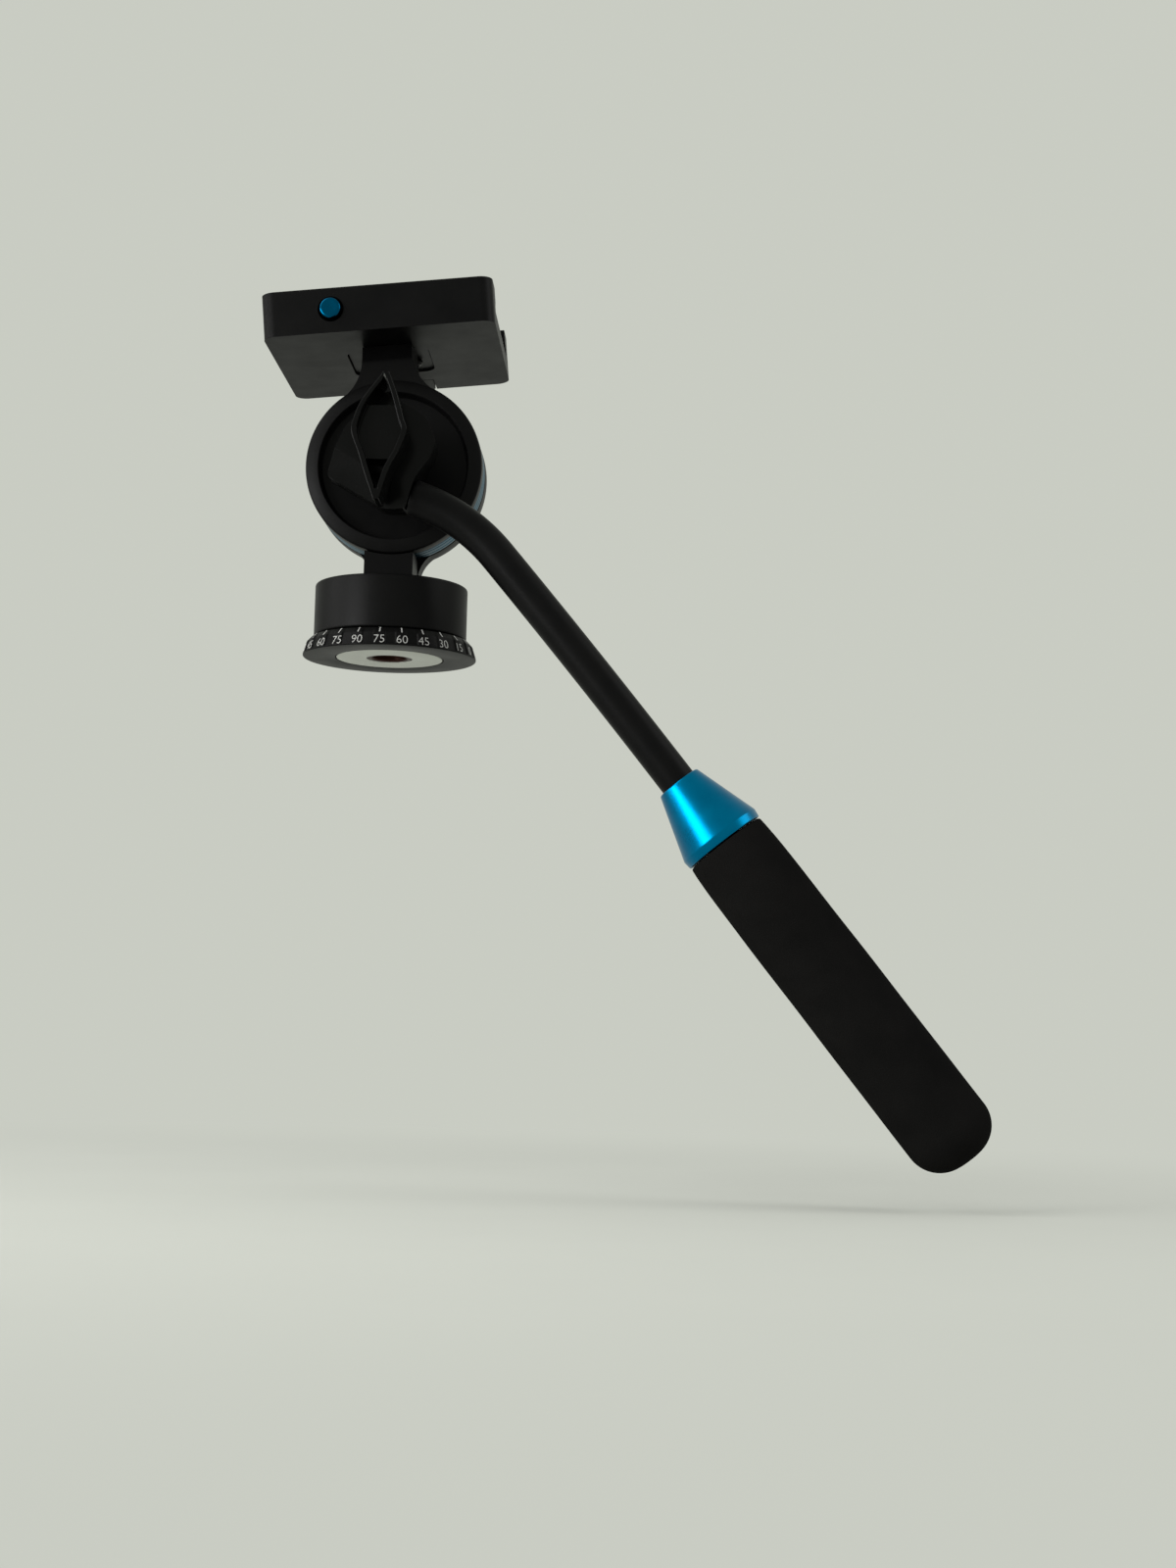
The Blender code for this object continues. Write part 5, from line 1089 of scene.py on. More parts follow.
@dataclass
class Platform:
    """The platform: body with its channel, moving jaw, clamp drive, button and stop pin."""

    left: float = -30.55 * MM
    right: float = 29.25 * MM
    near: float = -19.84 * MM
    far: float = 36.57 * MM
    low: float = 33.26 * MM
    floor: float = 38.0 * MM
    top: float = 45.08 * MM
    corner: float = 3.5 * MM
    edge: float = 0.5 * MM
    groove: float = -11.3 * MM
    lip: float = 1.8 * MM
    plate_edge: float = 1.2 * MM
    plate_low: float = 38.3 * MM
    pocket: Span = (-11.45 * MM, 10.15 * MM, -2.1 * MM, 19.6 * MM)
    pocket_corner: float = 3.0 * MM
    pocket_top: float = 35.26 * MM
    tongue_half: float = 8.5 * MM
    tongue_near: float = 27.7 * MM
    jaw_lip: float = 25.5 * MM
    screw_z: float = 35.7 * MM
    screw_radius: float = 1.5 * MM
    pin_radius: float = 1.0 * MM
    pin_spacing: float = 5.5 * MM
    bore_end: float = 20.6 * MM
    screw_hole: Place = (1.2 * MM, 34.96 * MM, 36.96 * MM)
    button_x: float = -12.6 * MM
    button_z: float = 39.5 * MM
    button_radius: float = 2.72 * MM
    button_dish: float = 0.18 * MM
    button_rim: float = 0.6 * MM
    button_reach: Flat = (-1.5 * MM, 1.1 * MM)
    well_wall: float = 0.6 * MM
    well_mouth: Flat = (0.4 * MM, 1.0 * MM)
    well_depth: float = 2.9 * MM
    stem_radius: float = 0.8 * MM
    stem_end: float = -12.9 * MM
    stop_y: float = -8.1 * MM
    stop_radius: float = 1.2 * MM
    stop_low: float = 34.6 * MM
    wire: float = 0.18 * MM
    wire_turns: int = 3
    wire_steps: int = 24
    pressed: float = 0.33
    head_under: float = 33.6 * MM
    head_radius: float = 1.5 * MM
    head_height: float = 1.3 * MM
    head_rounding: float = 0.15 * MM
    shank: Flat = (0.9 * MM, 3.06 * MM)
    socket: Flat = (0.75 * MM, 0.45 * MM)
    knob: Span = (7.5 * MM, 5.7 * MM, 10.5 * MM, 5.3 * MM)

    def build(self) -> None:
        """Builds and dresses the platform and what moves on it."""
        self.body()
        self.jaw()
        self.button()
        self.spring()
        self.flange_screws()
        radius, collar, length, depth = self.knob
        knob = LobedKnob("clamp_grip", radius, collar, self.screw_radius + GAP, self.far + GAP, length, depth)
        knob.build("clamp_drive", "clamp_knob", ON_PLATFORM, self.screw_z)
        dress_nodes(BRIGHT_STEEL, "clamp_screw", "jaw_guide_pin_left", "jaw_guide_pin_right", "plate_stop_pin")

    def body(self) -> None:
        """Builds the platform's body."""
        outline = rounded_rectangle(self.left, self.right, self.near, self.far, self.corner, 12)
        body = Body().extrude(outline, self.low, self.top, Axis.Z).done("platform_body")
        lip = self.groove + self.lip
        groove_top = self.plate_low + self.plate_edge
        far = self.far + OVERRUN
        over = self.top + OVERRUN
        channel = [(lip, over), (lip, groove_top + self.lip), (self.groove, groove_top), (self.groove, self.floor),
                   (far, self.floor), (far, over)]
        carve(body, Body().extrude(channel, self.left - OVERRUN, self.right + OVERRUN, Axis.X))
        pocket = rounded_rectangle(*self.pocket, self.pocket_corner, 8)
        carve(body, Body().extrude(pocket, self.low - OVERRUN, self.pocket_top, Axis.Z))
        half = self.tongue_half + GAP
        notch = stairs(-half, self.tongue_near - GAP, half, far, -half)
        carve(body, Body().extrude(notch, self.low - OVERRUN, self.floor + OVERRUN, Axis.Z))
        self.drill(body)
        dress(soften(body, self.edge, 3), SATIN_BLACK, "tilt", "clamp_body", place=ON_PLATFORM)

    def drill(self, body: Piece) -> None:
        """Drills the platform for its screws, pins and button."""
        end = self.tongue_near + OVERRUN
        holes = Body()
        for x, radius, steps in ((0.0, self.screw_radius, 28), (-self.pin_spacing, self.pin_radius, 22),
                                 (self.pin_spacing, self.pin_radius, 22)):
            hole = stairs(0.0, self.bore_end, radius + GAP, end, 0.0)
            holes.turn(hole, Axis.Y, steps, (x, 0.0, self.screw_z))
        radius, low, high = self.screw_hole
        for place in FLANGE_SCREWS:
            holes.turn(stairs(0.0, low, radius, high, 0.0), Axis.Z, 22, (*place, 0.0))
        stop = stairs(0.0, self.stop_low, self.stop_radius + GAP, self.floor + GAP / 2, 0.0)
        holes.turn(stop, Axis.Z, 26, (self.button_x, self.stop_y, 0.0))
        carve(body, holes)
        wide, narrow = self.button_radius + self.well_wall, self.button_radius + GAP
        mouth, throat = (self.near + depth for depth in self.well_mouth)
        well = [*stairs(0.0, self.near - OVERRUN, wide, mouth), (narrow, throat),
                *stairs(narrow, self.near + self.well_depth, self.stem_radius + GAP, self.groove + self.lip / 2, 0.0)]
        carve(body, Body().turn(well, Axis.Y, 53, (self.button_x, 0.0, self.button_z)))

    def jaw(self) -> None:
        """Builds the moving jaw with its tongue."""
        corner = self.corner
        far = self.far - corner
        outline = [(self.right, self.jaw_lip), *arc((self.right - corner, far), corner, 0.0, QUARTER, 12),
                   *arc((self.left + corner, far), corner, QUARTER, math.pi, 12), (self.left, self.jaw_lip)]
        jaw = Body().extrude(outline, self.plate_low, self.top, Axis.Z).done("moving_jaw_shell")
        front = self.jaw_lip - OVERRUN
        groove = self.jaw_lip + self.lip
        top = self.plate_low + self.plate_edge
        low = self.floor - OVERRUN
        cutter = [(front, low), (groove, low), (groove, top), (self.jaw_lip, top + self.lip), (front, top + self.lip)]
        carve(jaw, Body().extrude(cutter, self.left - OVERRUN, self.right + OVERRUN, Axis.X))
        half = self.tongue_half
        back = self.far - GAP
        tongue = stairs(-half, self.tongue_near, half, back, -half)
        carve(jaw, Body().extrude(tongue, self.low, self.floor + OVERRUN, Axis.Z), JOIN)
        bores = Body()
        for place, radius in ((0.0, self.screw_radius), (-self.pin_spacing, self.pin_radius),
                              (self.pin_spacing, self.pin_radius)):
            hole = stairs(0.0, self.tongue_near - OVERRUN, radius + GAP, back + OVERRUN, 0.0)
            bores.turn(hole, Axis.Y, 28, (place, 0.0, self.screw_z))
        carve(jaw, bores)
        dress(soften(jaw, self.edge * 0.8, 3), SATIN_BLACK, "jaw", "moving_jaw", place=ON_PLATFORM)

    def button(self) -> None:
        """Builds the safety button, with a round rim and a slightly dished face."""
        front, back = (self.near + reach for reach in self.button_reach)
        rim = self.button_rim
        face = self.button_radius - rim
        profile = [(face * share, front + self.button_dish * (1 - share ** 2)) for share in (0.0, 0.4, 0.75, 1.0)]
        profile += [(radius, along) for along, radius in arc((front + rim, face), rim, math.pi, QUARTER, 6)[1:]]
        profile += stairs(self.button_radius, back, self.stem_radius, self.stem_end, 0.0)
        button = Body().turn(profile, Axis.Y, 72, (self.button_x, 0.0, self.button_z)).done("safety_button_cap")
        dress(smooth(button, WIDE_ANGLE), DEEP_BLUE, "button", "safety_button", place=ON_PLATFORM)

    def spring(self) -> None:
        """Winds the button's spring finer than its solid."""
        ends = (self.near + self.button_reach[1] + GAP + self.wire, self.near + self.well_depth - GAP - self.wire)
        section = arc(((self.button_radius + self.stem_radius) / 2, 0.0), self.wire, 0.0, math.tau, 8)[:-1]
        counts = (self.wire_turns * self.wire_steps, self.wire_steps)
        wound = coil(lambda _index: section, ends, counts, Axis.Y, (self.button_x, 0.0, self.button_z))
        spring = wound.done("button_coil")
        dress(smooth(spring, WIDEST_ANGLE), BRIGHT_STEEL, "tilt", "button_spring", place=ON_PLATFORM)
        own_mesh(spring)

    def flange_screws(self) -> None:
        """Sets the two socket screws under the flange, as copies of one."""
        under, head = self.head_under, self.head_radius
        low = under - self.head_height
        profile = [(0.0, low), (head * 0.7, low), (head, under - self.head_height / 2),
                   *stairs(head, under, self.shank[0], under + self.shank[1], 0.0)]
        place, other = FLANGE_SCREWS
        turned = Body().turn(rimmed(profile, self.head_rounding), Axis.Z, 48, (*place, 0.0))
        screw = turned.done("flange_screws")
        socket = arc(place, self.socket[0], 0.0, math.tau * 5 / 6, 5)
        carve(screw, Body().extrude(socket, low - OVERRUN, low + self.socket[1], Axis.Z))
        repeat(screw, GLOSS_BLACK, {"Count": 2, "Step X": other[0] - place[0]})
        dress(smooth(screw), GLOSS_BLACK, "tilt", "platform_screw_left", "platform_screw_right", place=ON_PLATFORM)


# Quick-release plate

@dataclass
class CameraPlate:
    """The dovetail plate with its ribbed pads and the slotted camera screw."""

    centre: Flat = (-0.65 * MM, 8.0 * MM)
    length: float = 50.0 * MM
    half: float = 19.0 * MM
    lip: float = 1.8 * MM
    low: float = 38.3 * MM
    edge: float = 1.2 * MM
    top: float = 45.28 * MM
    softening: float = 0.3 * MM
    recess: float = 0.5 * MM
    pad: Flat = (12.0 * MM, 26.0 * MM)
    pad_corner: float = 2.0 * MM
    pad_spacing: float = 17.0 * MM
    pad_thickness: float = 0.8 * MM
    pad_softening: float = 0.15 * MM
    rib_height: float = 0.22 * MM
    rib_width: float = 0.9 * MM
    rib_count: int = 14
    rib_inset: Flat = (1.2 * MM, 1.5 * MM)
    rib_sink: float = 0.1 * MM
    screw_radius: float = 3.05 * MM
    head_radius: float = 6.6 * MM
    head_height: float = 3.0 * MM
    head_rounding: float = 0.4 * MM
    core_depth: float = 0.35 * MM
    thread_sink: float = 0.05 * MM
    thread_depth: float = 0.38 * MM
    thread_pitch: float = 1.27 * MM
    thread_ends: Flat = (1.0 * MM, 0.6 * MM)
    reach: float = 5.0 * MM
    slot: Flat = (1.2 * MM, 1.2 * MM)
    stop_slot: Flat = (-12.6 * MM, -8.1 * MM)
    stop_travel: float = 5.0 * MM
    stop_radius: float = 1.5 * MM
    stop_depth: float = 1.0 * MM

    def build(self) -> None:
        """Builds and dresses the plate, its pads and its screw."""
        self.plate()
        for side, node in ((-1, "plate_pad_left"), (1, "plate_pad_right")):
            self.pad_piece(side, node)
        self.screw()

    def plate(self) -> None:
        """Builds the dovetail plate."""
        neck = self.half - self.lip
        edge = self.low + self.edge
        flank = [(self.half, self.low), (self.half, edge), (neck, edge + self.lip), (neck, self.top)]
        outline = [(self.centre[1] - y, z) for y, z in reversed(flank)] + [(self.centre[1] + y, z) for y, z in flank]
        left = self.centre[0] - self.length / 2
        plate = Body().extrude(outline, left, left + self.length, Axis.X).done("camera_plate_shell")
        recesses = Body()
        for side in (-1, 1):
            recesses.extrude(self.pad_outline(side, GAP), self.top - self.recess, self.top + OVERRUN, Axis.Z)
        carve(plate, recesses)
        seat = self.low + self.head_height + 2 * GAP
        hole = stairs(0.0, self.low - OVERRUN, self.head_radius + GAP, seat, self.screw_radius + GAP,
                      self.top + OVERRUN, 0.0)
        carve(plate, Body().turn(hole, Axis.Z, 73, (*self.centre, 0.0)))
        x, y = self.stop_slot
        long = self.stop_travel + self.stop_radius
        slot = rounded_rectangle(x - long, x + long, y - self.stop_radius, y + self.stop_radius,
                                 self.stop_radius * 0.98, 8)
        carve(plate, Body().extrude(slot, self.low - OVERRUN, self.low + self.stop_depth, Axis.Z))
        dress(soften(plate, self.softening), SATIN_BLACK, "plate", "camera_plate", place=ON_PLATFORM)

    def pad_outline(self, side: int, grow: float) -> list[Flat]:
        """Gives one pad's outline, grown by a clearance."""
        middle = self.centre[0] + side * self.pad_spacing
        wide, tall = self.pad[0] / 2 + grow, self.pad[1] / 2 + grow
        return rounded_rectangle(middle - wide, middle + wide, self.centre[1] - tall, self.centre[1] + tall,
                                 self.pad_corner, 6)

    def pad_piece(self, side: int, node: str) -> None:
        """Builds one rubber pad and the row of ribs that runs across it."""
        low = self.top - self.recess + GAP
        base = low + self.pad_thickness - self.rib_height
        pad = Body().extrude(self.pad_outline(side, 0.0), low, base, Axis.Z).done(node + "_rubber")
        middle = self.centre[0] + side * self.pad_spacing
        half = self.pad[0] / 2 - self.rib_inset[0]
        step = (self.pad[1] - 2 * self.rib_inset[1]) / (self.rib_count - 1)
        first = self.centre[1] - self.pad[1] / 2 + self.rib_inset[1]
        foot, crest = self.rib_width / 2, self.rib_width / 4
        section = [(first - foot, base - self.rib_sink), (first + foot, base - self.rib_sink),
                   (first + crest, base + self.rib_height), (first - crest, base + self.rib_height)]
        ribs = Body().extrude(section, middle - half, middle + half, Axis.X).done(node + "_ribs")
        repeat(ribs, BLACK_RUBBER, {"Count": self.rib_count, "Step Y": step})
        dress(soften(pad, self.pad_softening), BLACK_RUBBER, "plate", node, place=ON_PLATFORM)
        dress(ribs, BLACK_RUBBER, "plate", place=ON_PLATFORM)

    def screw(self) -> None:
        """Builds the slotted camera screw with its thread."""
        low = self.low + GAP
        shoulder = low + self.head_height
        tip = self.top + self.reach
        core = self.screw_radius - self.core_depth
        x, y = self.centre
        profile = stairs(0.0, low, self.head_radius, shoulder, core, tip, 0.0)
        screw = Body().turn(rimmed(profile, self.head_rounding), Axis.Z, 88, (x, y, 0.0)).done("camera_screw_steel")
        ends = (shoulder + self.thread_ends[0], tip - self.thread_ends[1])
        carve(screw, thread(core - self.thread_sink, self.thread_depth, self.thread_pitch, ends, (x, y, 0.0), 32),
              JOIN)
        half = self.slot[0] / 2
        reach = self.head_radius + OVERRUN
        cut = stairs(y - half, low - OVERRUN, y + half, low + self.slot[1], y - half)
        carve(screw, Body().extrude(cut, x - reach, x + reach, Axis.X))
        dress(smooth(screw), BRIGHT_STEEL, "plate_screw", "camera_screw", place=ON_PLATFORM)


# Handle

@dataclass
class Handle:
    """The shield-shaped base, the bent rod, the blue collar and the foam grip."""

    front: float = -32.0 * MM
    back: float = -22.7 * MM
    neck_radius: float = 9.0 * MM
    neck_end: float = -6.8 * MM
    bolt_bore: float = 2.8 * MM
    left: float = 14.1 * MM
    right: float = 13.1 * MM
    top: float = 13.0 * MM
    bottom: float = 16.2 * MM
    corner: float = 1.1 * MM
    softening: float = 0.45 * MM
    facet_angle: float = math.radians(24)
    facet_heading: float = math.radians(-31)
    facet_offset: float = 7.2 * MM
    left_shares: tuple[Flat, ...] = ((0.00, 1.00), (-0.655, 0.344), (-0.865, -0.140), (-1.00, -0.485),
                                     (-0.19, -0.89), (0.03, -1.0))
    right_shares: tuple[Flat, ...] = ((0.80, 0.54), (0.95, 0.214), (1.00, 0.022), (0.91, -0.215))
    plane: float = -27.5 * MM
    rod_radius: float = 4.55 * MM
    rod_edge: float = 0.5 * MM
    rod_steps: int = 72
    start: Flat = (7.4 * MM, -12.8 * MM)
    headings: Place = (math.radians(-17.1), math.radians(-49.65), math.radians(-51.4))
    bends: Flat = (26.4 * MM, 71.0 * MM)
    straight: float = 1.8 * MM
    spigot_radius: float = 3.0 * MM
    spigot_length: float = 5.2 * MM
    nose: float = 5.72 * MM
    cone: float = 16.45 * MM
    band: float = 2.4 * MM
    lip: float = 0.45 * MM
    collar_rim: float = 10.82 * MM
    collar_rounding: float = 0.25 * MM
    grip_radius: float = 10.45 * MM
    grip_swell: float = 10.95 * MM
    grip_middle: float = 11.05 * MM
    grip_end: float = 11.09 * MM
    grip_length: float = 95.8 * MM
    grip_round: float = 8.5 * MM
    grip_cap: float = 10.0 * MM
    grip_swells: Flat = (0.4 * MM, 3.5 * MM)
    grip_bevel: Flat = (0.5 * MM, 0.15 * MM)
    lump: Place = (0.02 * MM, 7 * MM, 4.3 * MM)

    def build(self) -> None:
        """Builds and dresses the handle."""
        self.base()
        self.rod()
        self.collar()
        self.foam()

    def at(self, distance: float) -> Place:
        """Gives x, z and heading of the rod's axis at a distance from its shoulder."""
        x, z = self.start
        heading = self.headings[0]
        rest = distance
        for length, after in zip(self.bends, self.headings[1:]):
            run = max(min(rest, length), 0.0)
            radius = length / (heading - after)
            turned = heading - run / radius
            x += radius * (math.sin(heading) - math.sin(turned))
            z -= radius * (math.cos(heading) - math.cos(turned))
            heading, rest = turned, rest - run
            if rest <= 0.0:
                break
        return (x + rest * math.cos(heading), z + rest * math.sin(heading), heading)

    def rows(self, stations: Iterable[Flat], steps: int) -> list[list[Place]]:
        """Gives rings of points round the rod's axis, one for each distance and radius."""
        rows = []
        for distance, radius in stations:
            x, z, heading = self.at(distance)
            ring = arc((0.0, 0.0), radius, 0.0, math.tau, steps)[:-1]
            rows.append([(x - across * math.sin(heading), self.plane + deep, z + across * math.cos(heading))
                         for across, deep in ring])
        return rows

    def outline(self) -> list[Flat]:
        """Gives the shield's outline, whose lower right edge stands square to the rod."""
        left, right = ([(x * wide, z * (self.top if z > 0 else self.bottom)) for x, z in shares]
                       for wide, shares in ((self.left, self.left_shares), (self.right, self.right_shares)))
        heading = self.headings[0]
        across = (-math.sin(heading), math.cos(heading))
        seat = (self.start[0] - GAP * math.cos(heading), self.start[1] - GAP * math.sin(heading))
        upper = (seat[0] + across[0] * self.rod_radius, seat[1] + across[1] * self.rod_radius)
        reach = (self.bottom + seat[1]) / across[1]
        return right + [upper, (seat[0] - across[0] * reach, -self.bottom)] + list(reversed(left))

    def base(self) -> None:
        """Builds the shield with its round neck and its facet."""
        outline = rounded(self.outline(), self.corner, 5, True)
        base = Body().extrude(outline, self.front, self.back).done("handle_shield")
        bore(base, self.neck_radius, self.back - OVERRUN, self.neck_end, 96, operation=JOIN)
        length = 2 * (self.left + self.bottom)
        rise = length * math.tan(self.facet_angle)
        front = self.front - OVERRUN
        wedge = [(0.0, self.front), (length, self.front + rise), (length, front), (0.0, front)]
        tool = Body().extrude(wedge, -length, length, Axis.X)
        turn = Matrix.Rotation(-self.facet_heading, 4, "Y")
        swing = Matrix(((1, 0, 0, 0), (0, 0, 1, 0), (0, -1, 0, 0), (0, 0, 0, 1)))
        place = turn @ Matrix.Translation((0.0, 0.0, -self.facet_offset)) @ swing
        bmesh.ops.transform(tool.shape, matrix=place, verts=tool.shape.verts)
        carve(base, tool)
        bore(base, self.bolt_bore, front, self.neck_end + OVERRUN, 40)
        reach = self.spigot_radius + GAP
        spigot = self.rows([(-self.spigot_length - GAP, reach), (OVERRUN, reach)], 36)
        carve(base, Body().tube(spigot))
        dress(soften(base, self.softening, 3), GLOSS_BLACK, "handle", "handle_base", place=ON_TILT_AXIS)

    def rod(self) -> None:
        """Builds the bent rod."""
        bend = sum(self.bends)
        end = bend + self.straight + self.cone + self.band + self.grip_length - self.grip_cap
        edge, radius = self.rod_edge, self.rod_radius
        stations = [(-self.spigot_length, self.spigot_radius), (0.0, self.spigot_radius), (0.0, radius - edge),
                    (edge / 3, radius - edge / 3), (edge, radius)]
        stations += [(bend * step / self.rod_steps, radius) for step in range(1, self.rod_steps + 1)]
        stations += [(end - edge, radius), (end, radius - edge)]
        rod = Body().tube(self.rows(stations, 64)).done("handle_tube")
        dress(smooth(rod, WIDE_ANGLE), SATIN_BLACK, "handle", "handle_rod", place=ON_TILT_AXIS)

    def grip_place(self) -> Matrix:
        """Gives the frame of the grip, with X along the rod."""
        x, z, heading = self.at(sum(self.bends) + self.straight)
        return ON_TILT_AXIS @ Matrix.Translation((x, self.plane, z)) @ Matrix.Rotation(-heading, 4, "Y")

    def collar(self) -> None:
        """Builds the blue collar: a cone, a bevel and a narrow band."""
        hole = self.rod_radius + GAP
        end = self.cone + self.band - GAP
        lip = self.lip
        profile = [(hole, 0.0), (self.nose - lip / 2, 0.0), (self.nose, lip / 2), (self.collar_rim, self.cone),
                   (self.grip_radius + lip / 3, end - lip / 3), (self.grip_radius, end), (hole, end)]
        collar = Body().turn(rimmed(profile, self.collar_rounding), Axis.X, 160).done("collar_cone")
        dress(smooth(collar, math.radians(24)), BLUE_ANODISED, "handle", "grip_collar", place=self.grip_place())

    def foam(self) -> None:
        """Builds the foam grip with its soft, slightly uneven skin."""
        start = self.cone + self.band
        end = start + self.grip_length
        centre = self.grip_end - self.grip_round
        foot, flank = (start + reach for reach in self.grip_swells)
        swell = [(foot, self.grip_radius), (flank, (self.grip_radius + self.grip_swell) / 2),
                 (start + self.grip_length * 0.12, self.grip_swell),
                 (start + self.grip_length * 0.35, self.grip_middle), (start + self.grip_length * 0.7, self.grip_end),
                 (end - self.grip_round, self.grip_end)]
        skin = smooth_line(swell, 30) + arc((end - self.grip_round, centre), self.grip_round, QUARTER, 0.0, 22)[1:]
        rod_end = end - self.grip_cap + GAP
        deep, bevel = self.grip_bevel
        profile = [*stairs(0.0, rod_end, self.rod_radius + GAP, start, self.grip_radius - deep),
                   (self.grip_radius - bevel, start + bevel), *((radius, along) for along, radius in skin),
                   *((centre * share, end) for share in (0.6, 0.2, 0.0))]

        def uneven(radius: float, along: float, angle: float) -> float:
            if radius < self.nose or along <= start or along >= end - MM / 2:
                return radius
            height, first, second = self.lump
            return radius + height * (math.sin(3 * angle + along / first) + math.sin(5 * angle - along / second + 1.3))

        grip = Body().turn(profile, Axis.X, 128, wave=uneven).done("foam_sleeve")
        dress(smooth(grip, WIDE_ANGLE), BLACK_FOAM, "handle", "foam_grip", place=self.grip_place())


# Handle's locking knob

@dataclass
class LeafKnob:
    """The leaf-shaped knob: a thin rim with a web across its middle, on the handle's bolt."""

    half_width: float = 6.7 * MM
    half_height: float = 16.0 * MM
    centre_z: float = -0.5 * MM
    front: float = -41.5 * MM
    back: float = -32.06 * MM
    wall: float = 1.3 * MM
    softening: float = 0.3 * MM
    web_top: float = 7.9 * MM
    web_bottom: float = -5.9 * MM
    web_recess: float = 3.0 * MM
    tip_gap: float = 0.9 * MM
    bolt_bore: float = 2.8 * MM
    bolt_web: float = 1.4 * MM
    steps: int = 48
    left_shares: tuple[Flat, ...] = ((-1.0, 0.10), (-0.60, 0.45), (-0.28, 0.70), (0.05, 0.98), (0.30, 0.88),
                                     (0.56, 0.62), (0.98, -0.10))
    right_shares: tuple[Flat, ...] = ((-1.0, 0.10), (-0.52, 0.44), (-0.24, 0.78), (0.08, 1.04), (0.27, 0.92),
                                      (0.65, 0.65), (0.98, 0.36))
    lines: dict[str, list[Flat]] = field(default_factory=dict)

    def build(self) -> None:
        """Builds and dresses the knob; its bolt keeps its solid."""
        self.lines = {"left": smooth_line(self.left_shares, 8), "right": smooth_line(self.right_shares, 8)}
        low, high = self.centre_z - self.half_height, self.centre_z + self.half_height
        knob = Body().extrude(self.outline(low, high, 0.0, self.wall / 2), self.front, self.back).done("leaf_rim")
        front, back = self.front - OVERRUN, self.back + OVERRUN
        opening = self.outline(low + 2 * self.wall, high + OVERRUN, self.wall, self.tip_gap / 2)
        carve(knob, Body().extrude(opening, front, back))
        web_front = self.front + self.web_recess
        web = self.outline(self.web_bottom, self.web_top, self.wall / 2, 0.0)
        carve(knob, Body().extrude(web, web_front, self.back - 2 * GAP), JOIN)
        bore(knob, self.bolt_bore, web_front + self.bolt_web, back, 40)
        dress(soften(knob, self.softening, 3), GLOSS_BLACK, "handle_lock", "handle_knob", place=ON_TILT_AXIS)
        dress_nodes(BRIGHT_STEEL, "handle_bolt")

    def width(self, side: str, height: float) -> float:
        """Gives the leaf's half width on one side at a height."""
        level = (height - self.centre_z) / self.half_height
        line = self.lines[side]
        for (low, narrow), (high, wide) in zip(line, line[1:]):
            if level <= high:
                share = (max(level, low) - low) / (high - low)
                return self.half_width * (narrow + (wide - narrow) * share)
        return self.half_width * line[-1][1]

    def outline(self, low: float, high: float, wall: float, least: float) -> list[Flat]:
        """Gives the leaf's outline between two heights, drawn in by a wall.

        Args:
            low: Where it starts.
            high: Where it ends.
            wall: How far it is drawn in.
            least: Least half width.

        Returns:
            The closed outline.
        """
        right, left = [], []
        for step in range(self.steps + 1):
            height = low + (high - low) * step / self.steps
            x_right = self.width("right", height) - wall
            x_left = wall - self.width("left", height)
            middle = (x_left + x_right) / 2
            half = max((x_right - x_left) / 2, least)
            right.append((middle + half, height))
            left.append((middle - half, height))
        return right + list(reversed(left))


# Studio

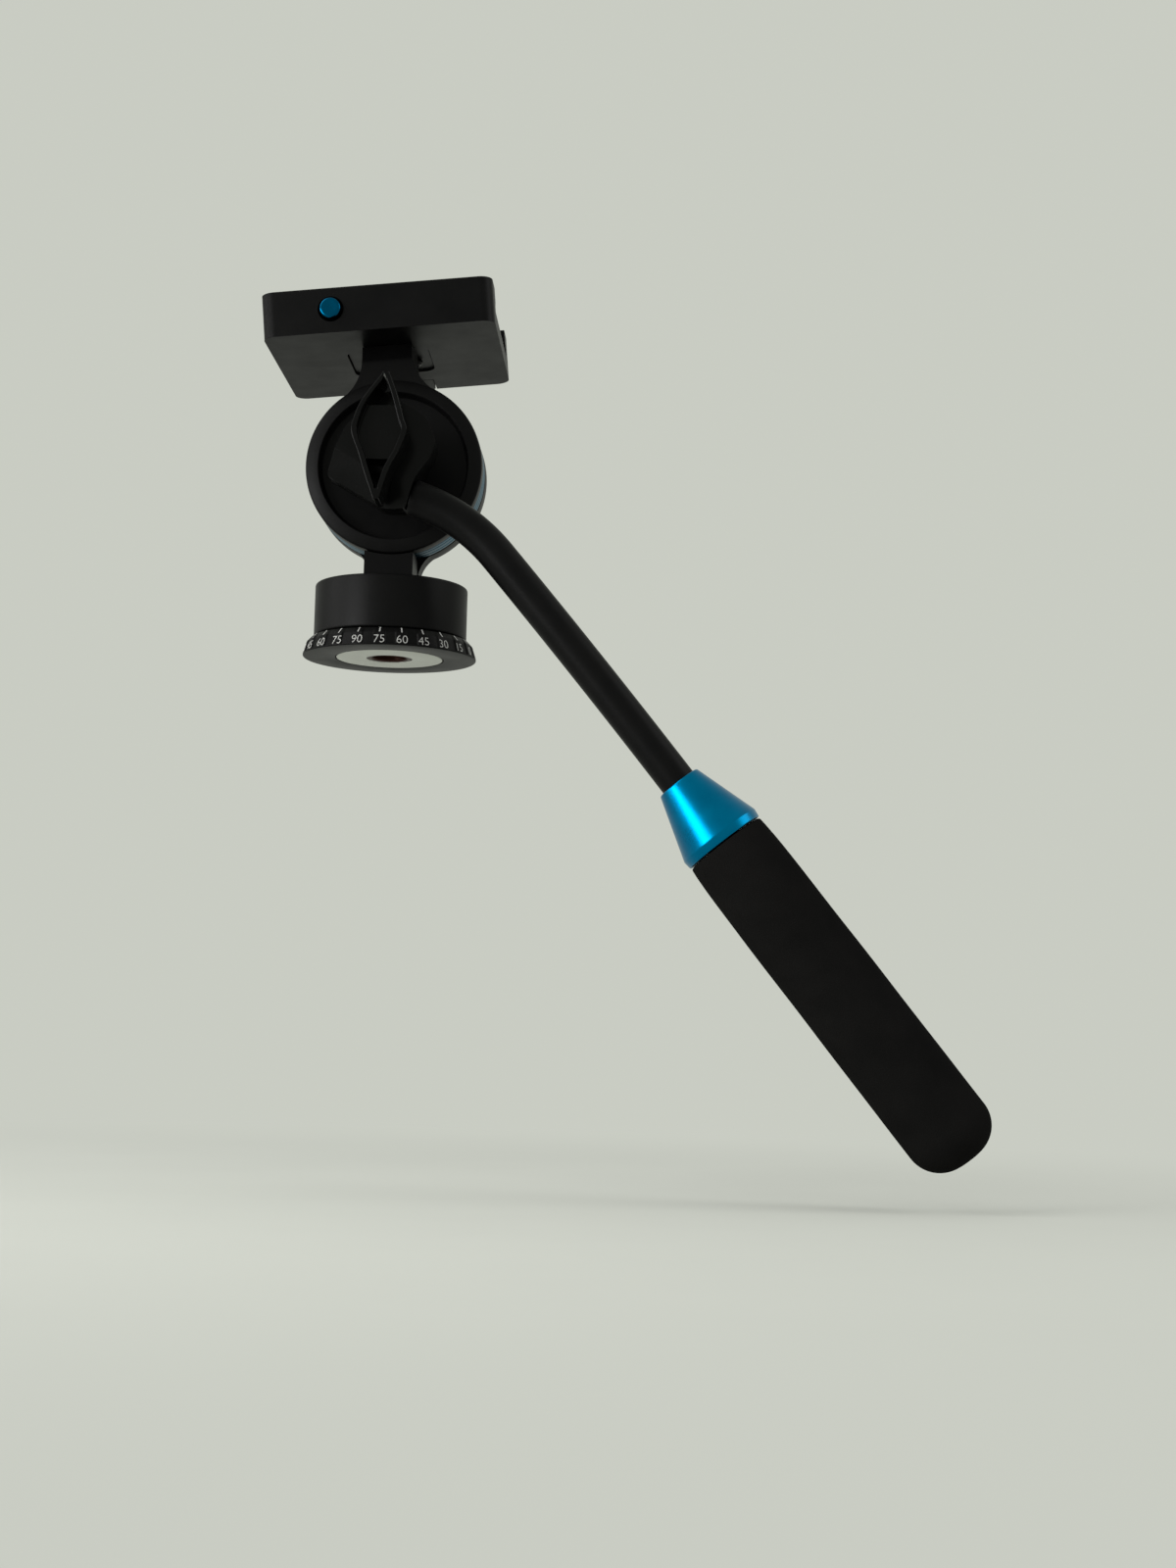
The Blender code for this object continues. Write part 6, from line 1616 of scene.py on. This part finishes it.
@dataclass
class Studio:
    """A pale floor, soft lamps and a camera at the photograph's viewing angle."""

    floor_z: float = -136.5 * MM
    floor_radius: float = 4.0
    fade: Flat = (0.10, 0.48)
    pale: Place = (0.585, 0.605, 0.545)
    shade: float = 0.97
    camera_place: Place = (74.76 * MM, -587.99 * MM, -98.8 * MM)
    camera_forward: Place = (-0.0375, 0.9929, 0.1134)
    camera_up: Place = (-0.0201, -0.1137, 0.9933)
    lens: float = 52.67
    sensor: float = 36.0
    world_strength: float = 0.62
    lamps: tuple[tuple[str, Place, Flat, float], ...] = (
        ("key_softbox", (-0.75, -0.45, 0.85), (0.7, 0.7), 4.0),
        ("fill_softbox", (0.95, -0.15, 0.55), (0.6, 0.6), 2.5),
        ("side_softbox", (-0.95, -0.12, 0.16), (0.40, 0.40), 2.0),
        ("left_softbox", (-0.52, -0.47, 0.03), (0.34, 0.36), 3.4),
    )

    def build(self) -> None:
        """Builds the floor, the lamps, the world and the camera."""
        self.camera()
        self.floor()
        self.world()
        for lamp in self.lamps:
            self.lamp(*lamp)
        bpy.context.scene.view_settings.view_transform = "Standard"

    def camera(self) -> None:
        """Places the camera."""
        data = bpy.data.cameras.new("camera")
        data.sensor_fit = "VERTICAL"
        data.sensor_width = self.sensor
        data.sensor_height = self.sensor
        data.lens = self.lens
        data.clip_start = 0.01
        data.clip_end = 50.0
        camera = added("camera", data)
        back = -Vector(self.camera_forward).normalized()
        right = Vector(self.camera_up).cross(back).normalized()
        up = back.cross(right)
        turn = Matrix((right, up, back)).transposed().to_4x4()
        camera.matrix_world = Matrix.Translation(self.camera_place) @ turn
        bpy.context.scene.camera = camera

    def floor(self) -> None:
        """Lays a wide round floor under the grip, whose far part has the background's colour."""
        piece = Body().turn(stairs(0.0, self.floor_z - 0.01, self.floor_radius, self.floor_z, 0.0)).done("floor")
        sheet = Sheet("pale_table")
        cloud = sheet.spread(sheet.noise(sheet.place, 9.0, 4.0), 0.0, 1.0)
        sheet.feed(sheet.shader, {
            "Base Color": sheet.mix(cloud, tuple(value * self.shade for value in self.pale), self.pale),
            "Roughness": 0.9, "Specular IOR Level": 0.0,
        })
        far = sheet.spread(sheet.length(sheet.place), 0.0, 1.0, *self.fade)
        far.node.interpolation_type = "SMOOTHERSTEP"
        glow = sheet.add("ShaderNodeEmission", {"Color": (*self.pale, 1.0)})
        blend = sheet.add("ShaderNodeMixShader", {"Fac": sheet.calc("MULTIPLY", far, sheet.seen()),
                                                  1: sheet.shader.outputs["BSDF"], 2: glow.outputs["Emission"]})
        sheet.feed(sheet.tree.nodes["Material Output"], {"Surface": blend.outputs["Shader"]})
        piece.data.materials.append(sheet.material)

    def world(self) -> None:
        """Lights the object from all round and shows a pale background."""
        world = bpy.data.worlds.new("studio")
        bpy.context.scene.world = world
        world.use_nodes = True
        nodes = Nodes(world.node_tree)
        light = nodes.feed(nodes.tree.nodes["Background"], {"Color": (1.0, 1.0, 1.0, 1.0),
                                                            "Strength": self.world_strength})
        shown = nodes.add("ShaderNodeBackground", {"Color": (*self.pale, 1.0), "Strength": 1.0})
        blend = nodes.add("ShaderNodeMixShader", {"Fac": nodes.seen(), 1: light.outputs["Background"],
                                                  2: shown.outputs["Background"]})
        nodes.feed(nodes.tree.nodes["World Output"], {"Surface": blend.outputs["Shader"]})

    def lamp(self, name: str, place: Place, size: Flat, power: float) -> None:
        """Adds a softbox, of a width and a height, that looks at the object."""
        data = bpy.data.lights.new(name, "AREA")
        data.shape = "RECTANGLE"
        data.size, data.size_y = size
        data.energy = power
        lamp = added(name, data)
        lamp.location = place
        lamp.visible_camera = False
        lamp.rotation_mode = "QUATERNION"
        lamp.rotation_quaternion = Vector(place).to_track_quat("Z", "Y")


def main() -> None:
    """Builds every sub-assembly in order and the studio round them."""
    logging.basicConfig(level=logging.INFO, format="%(name)s: %(message)s")
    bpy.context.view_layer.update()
    for part in (PanBase(), PanHousing(), TiltDiscs(), Platform(), CameraPlate(), Handle(), LeafKnob(), Studio()):
        LOG.info("building %s", type(part).__name__)
        part.build()


if __name__ == "__main__":
    main()
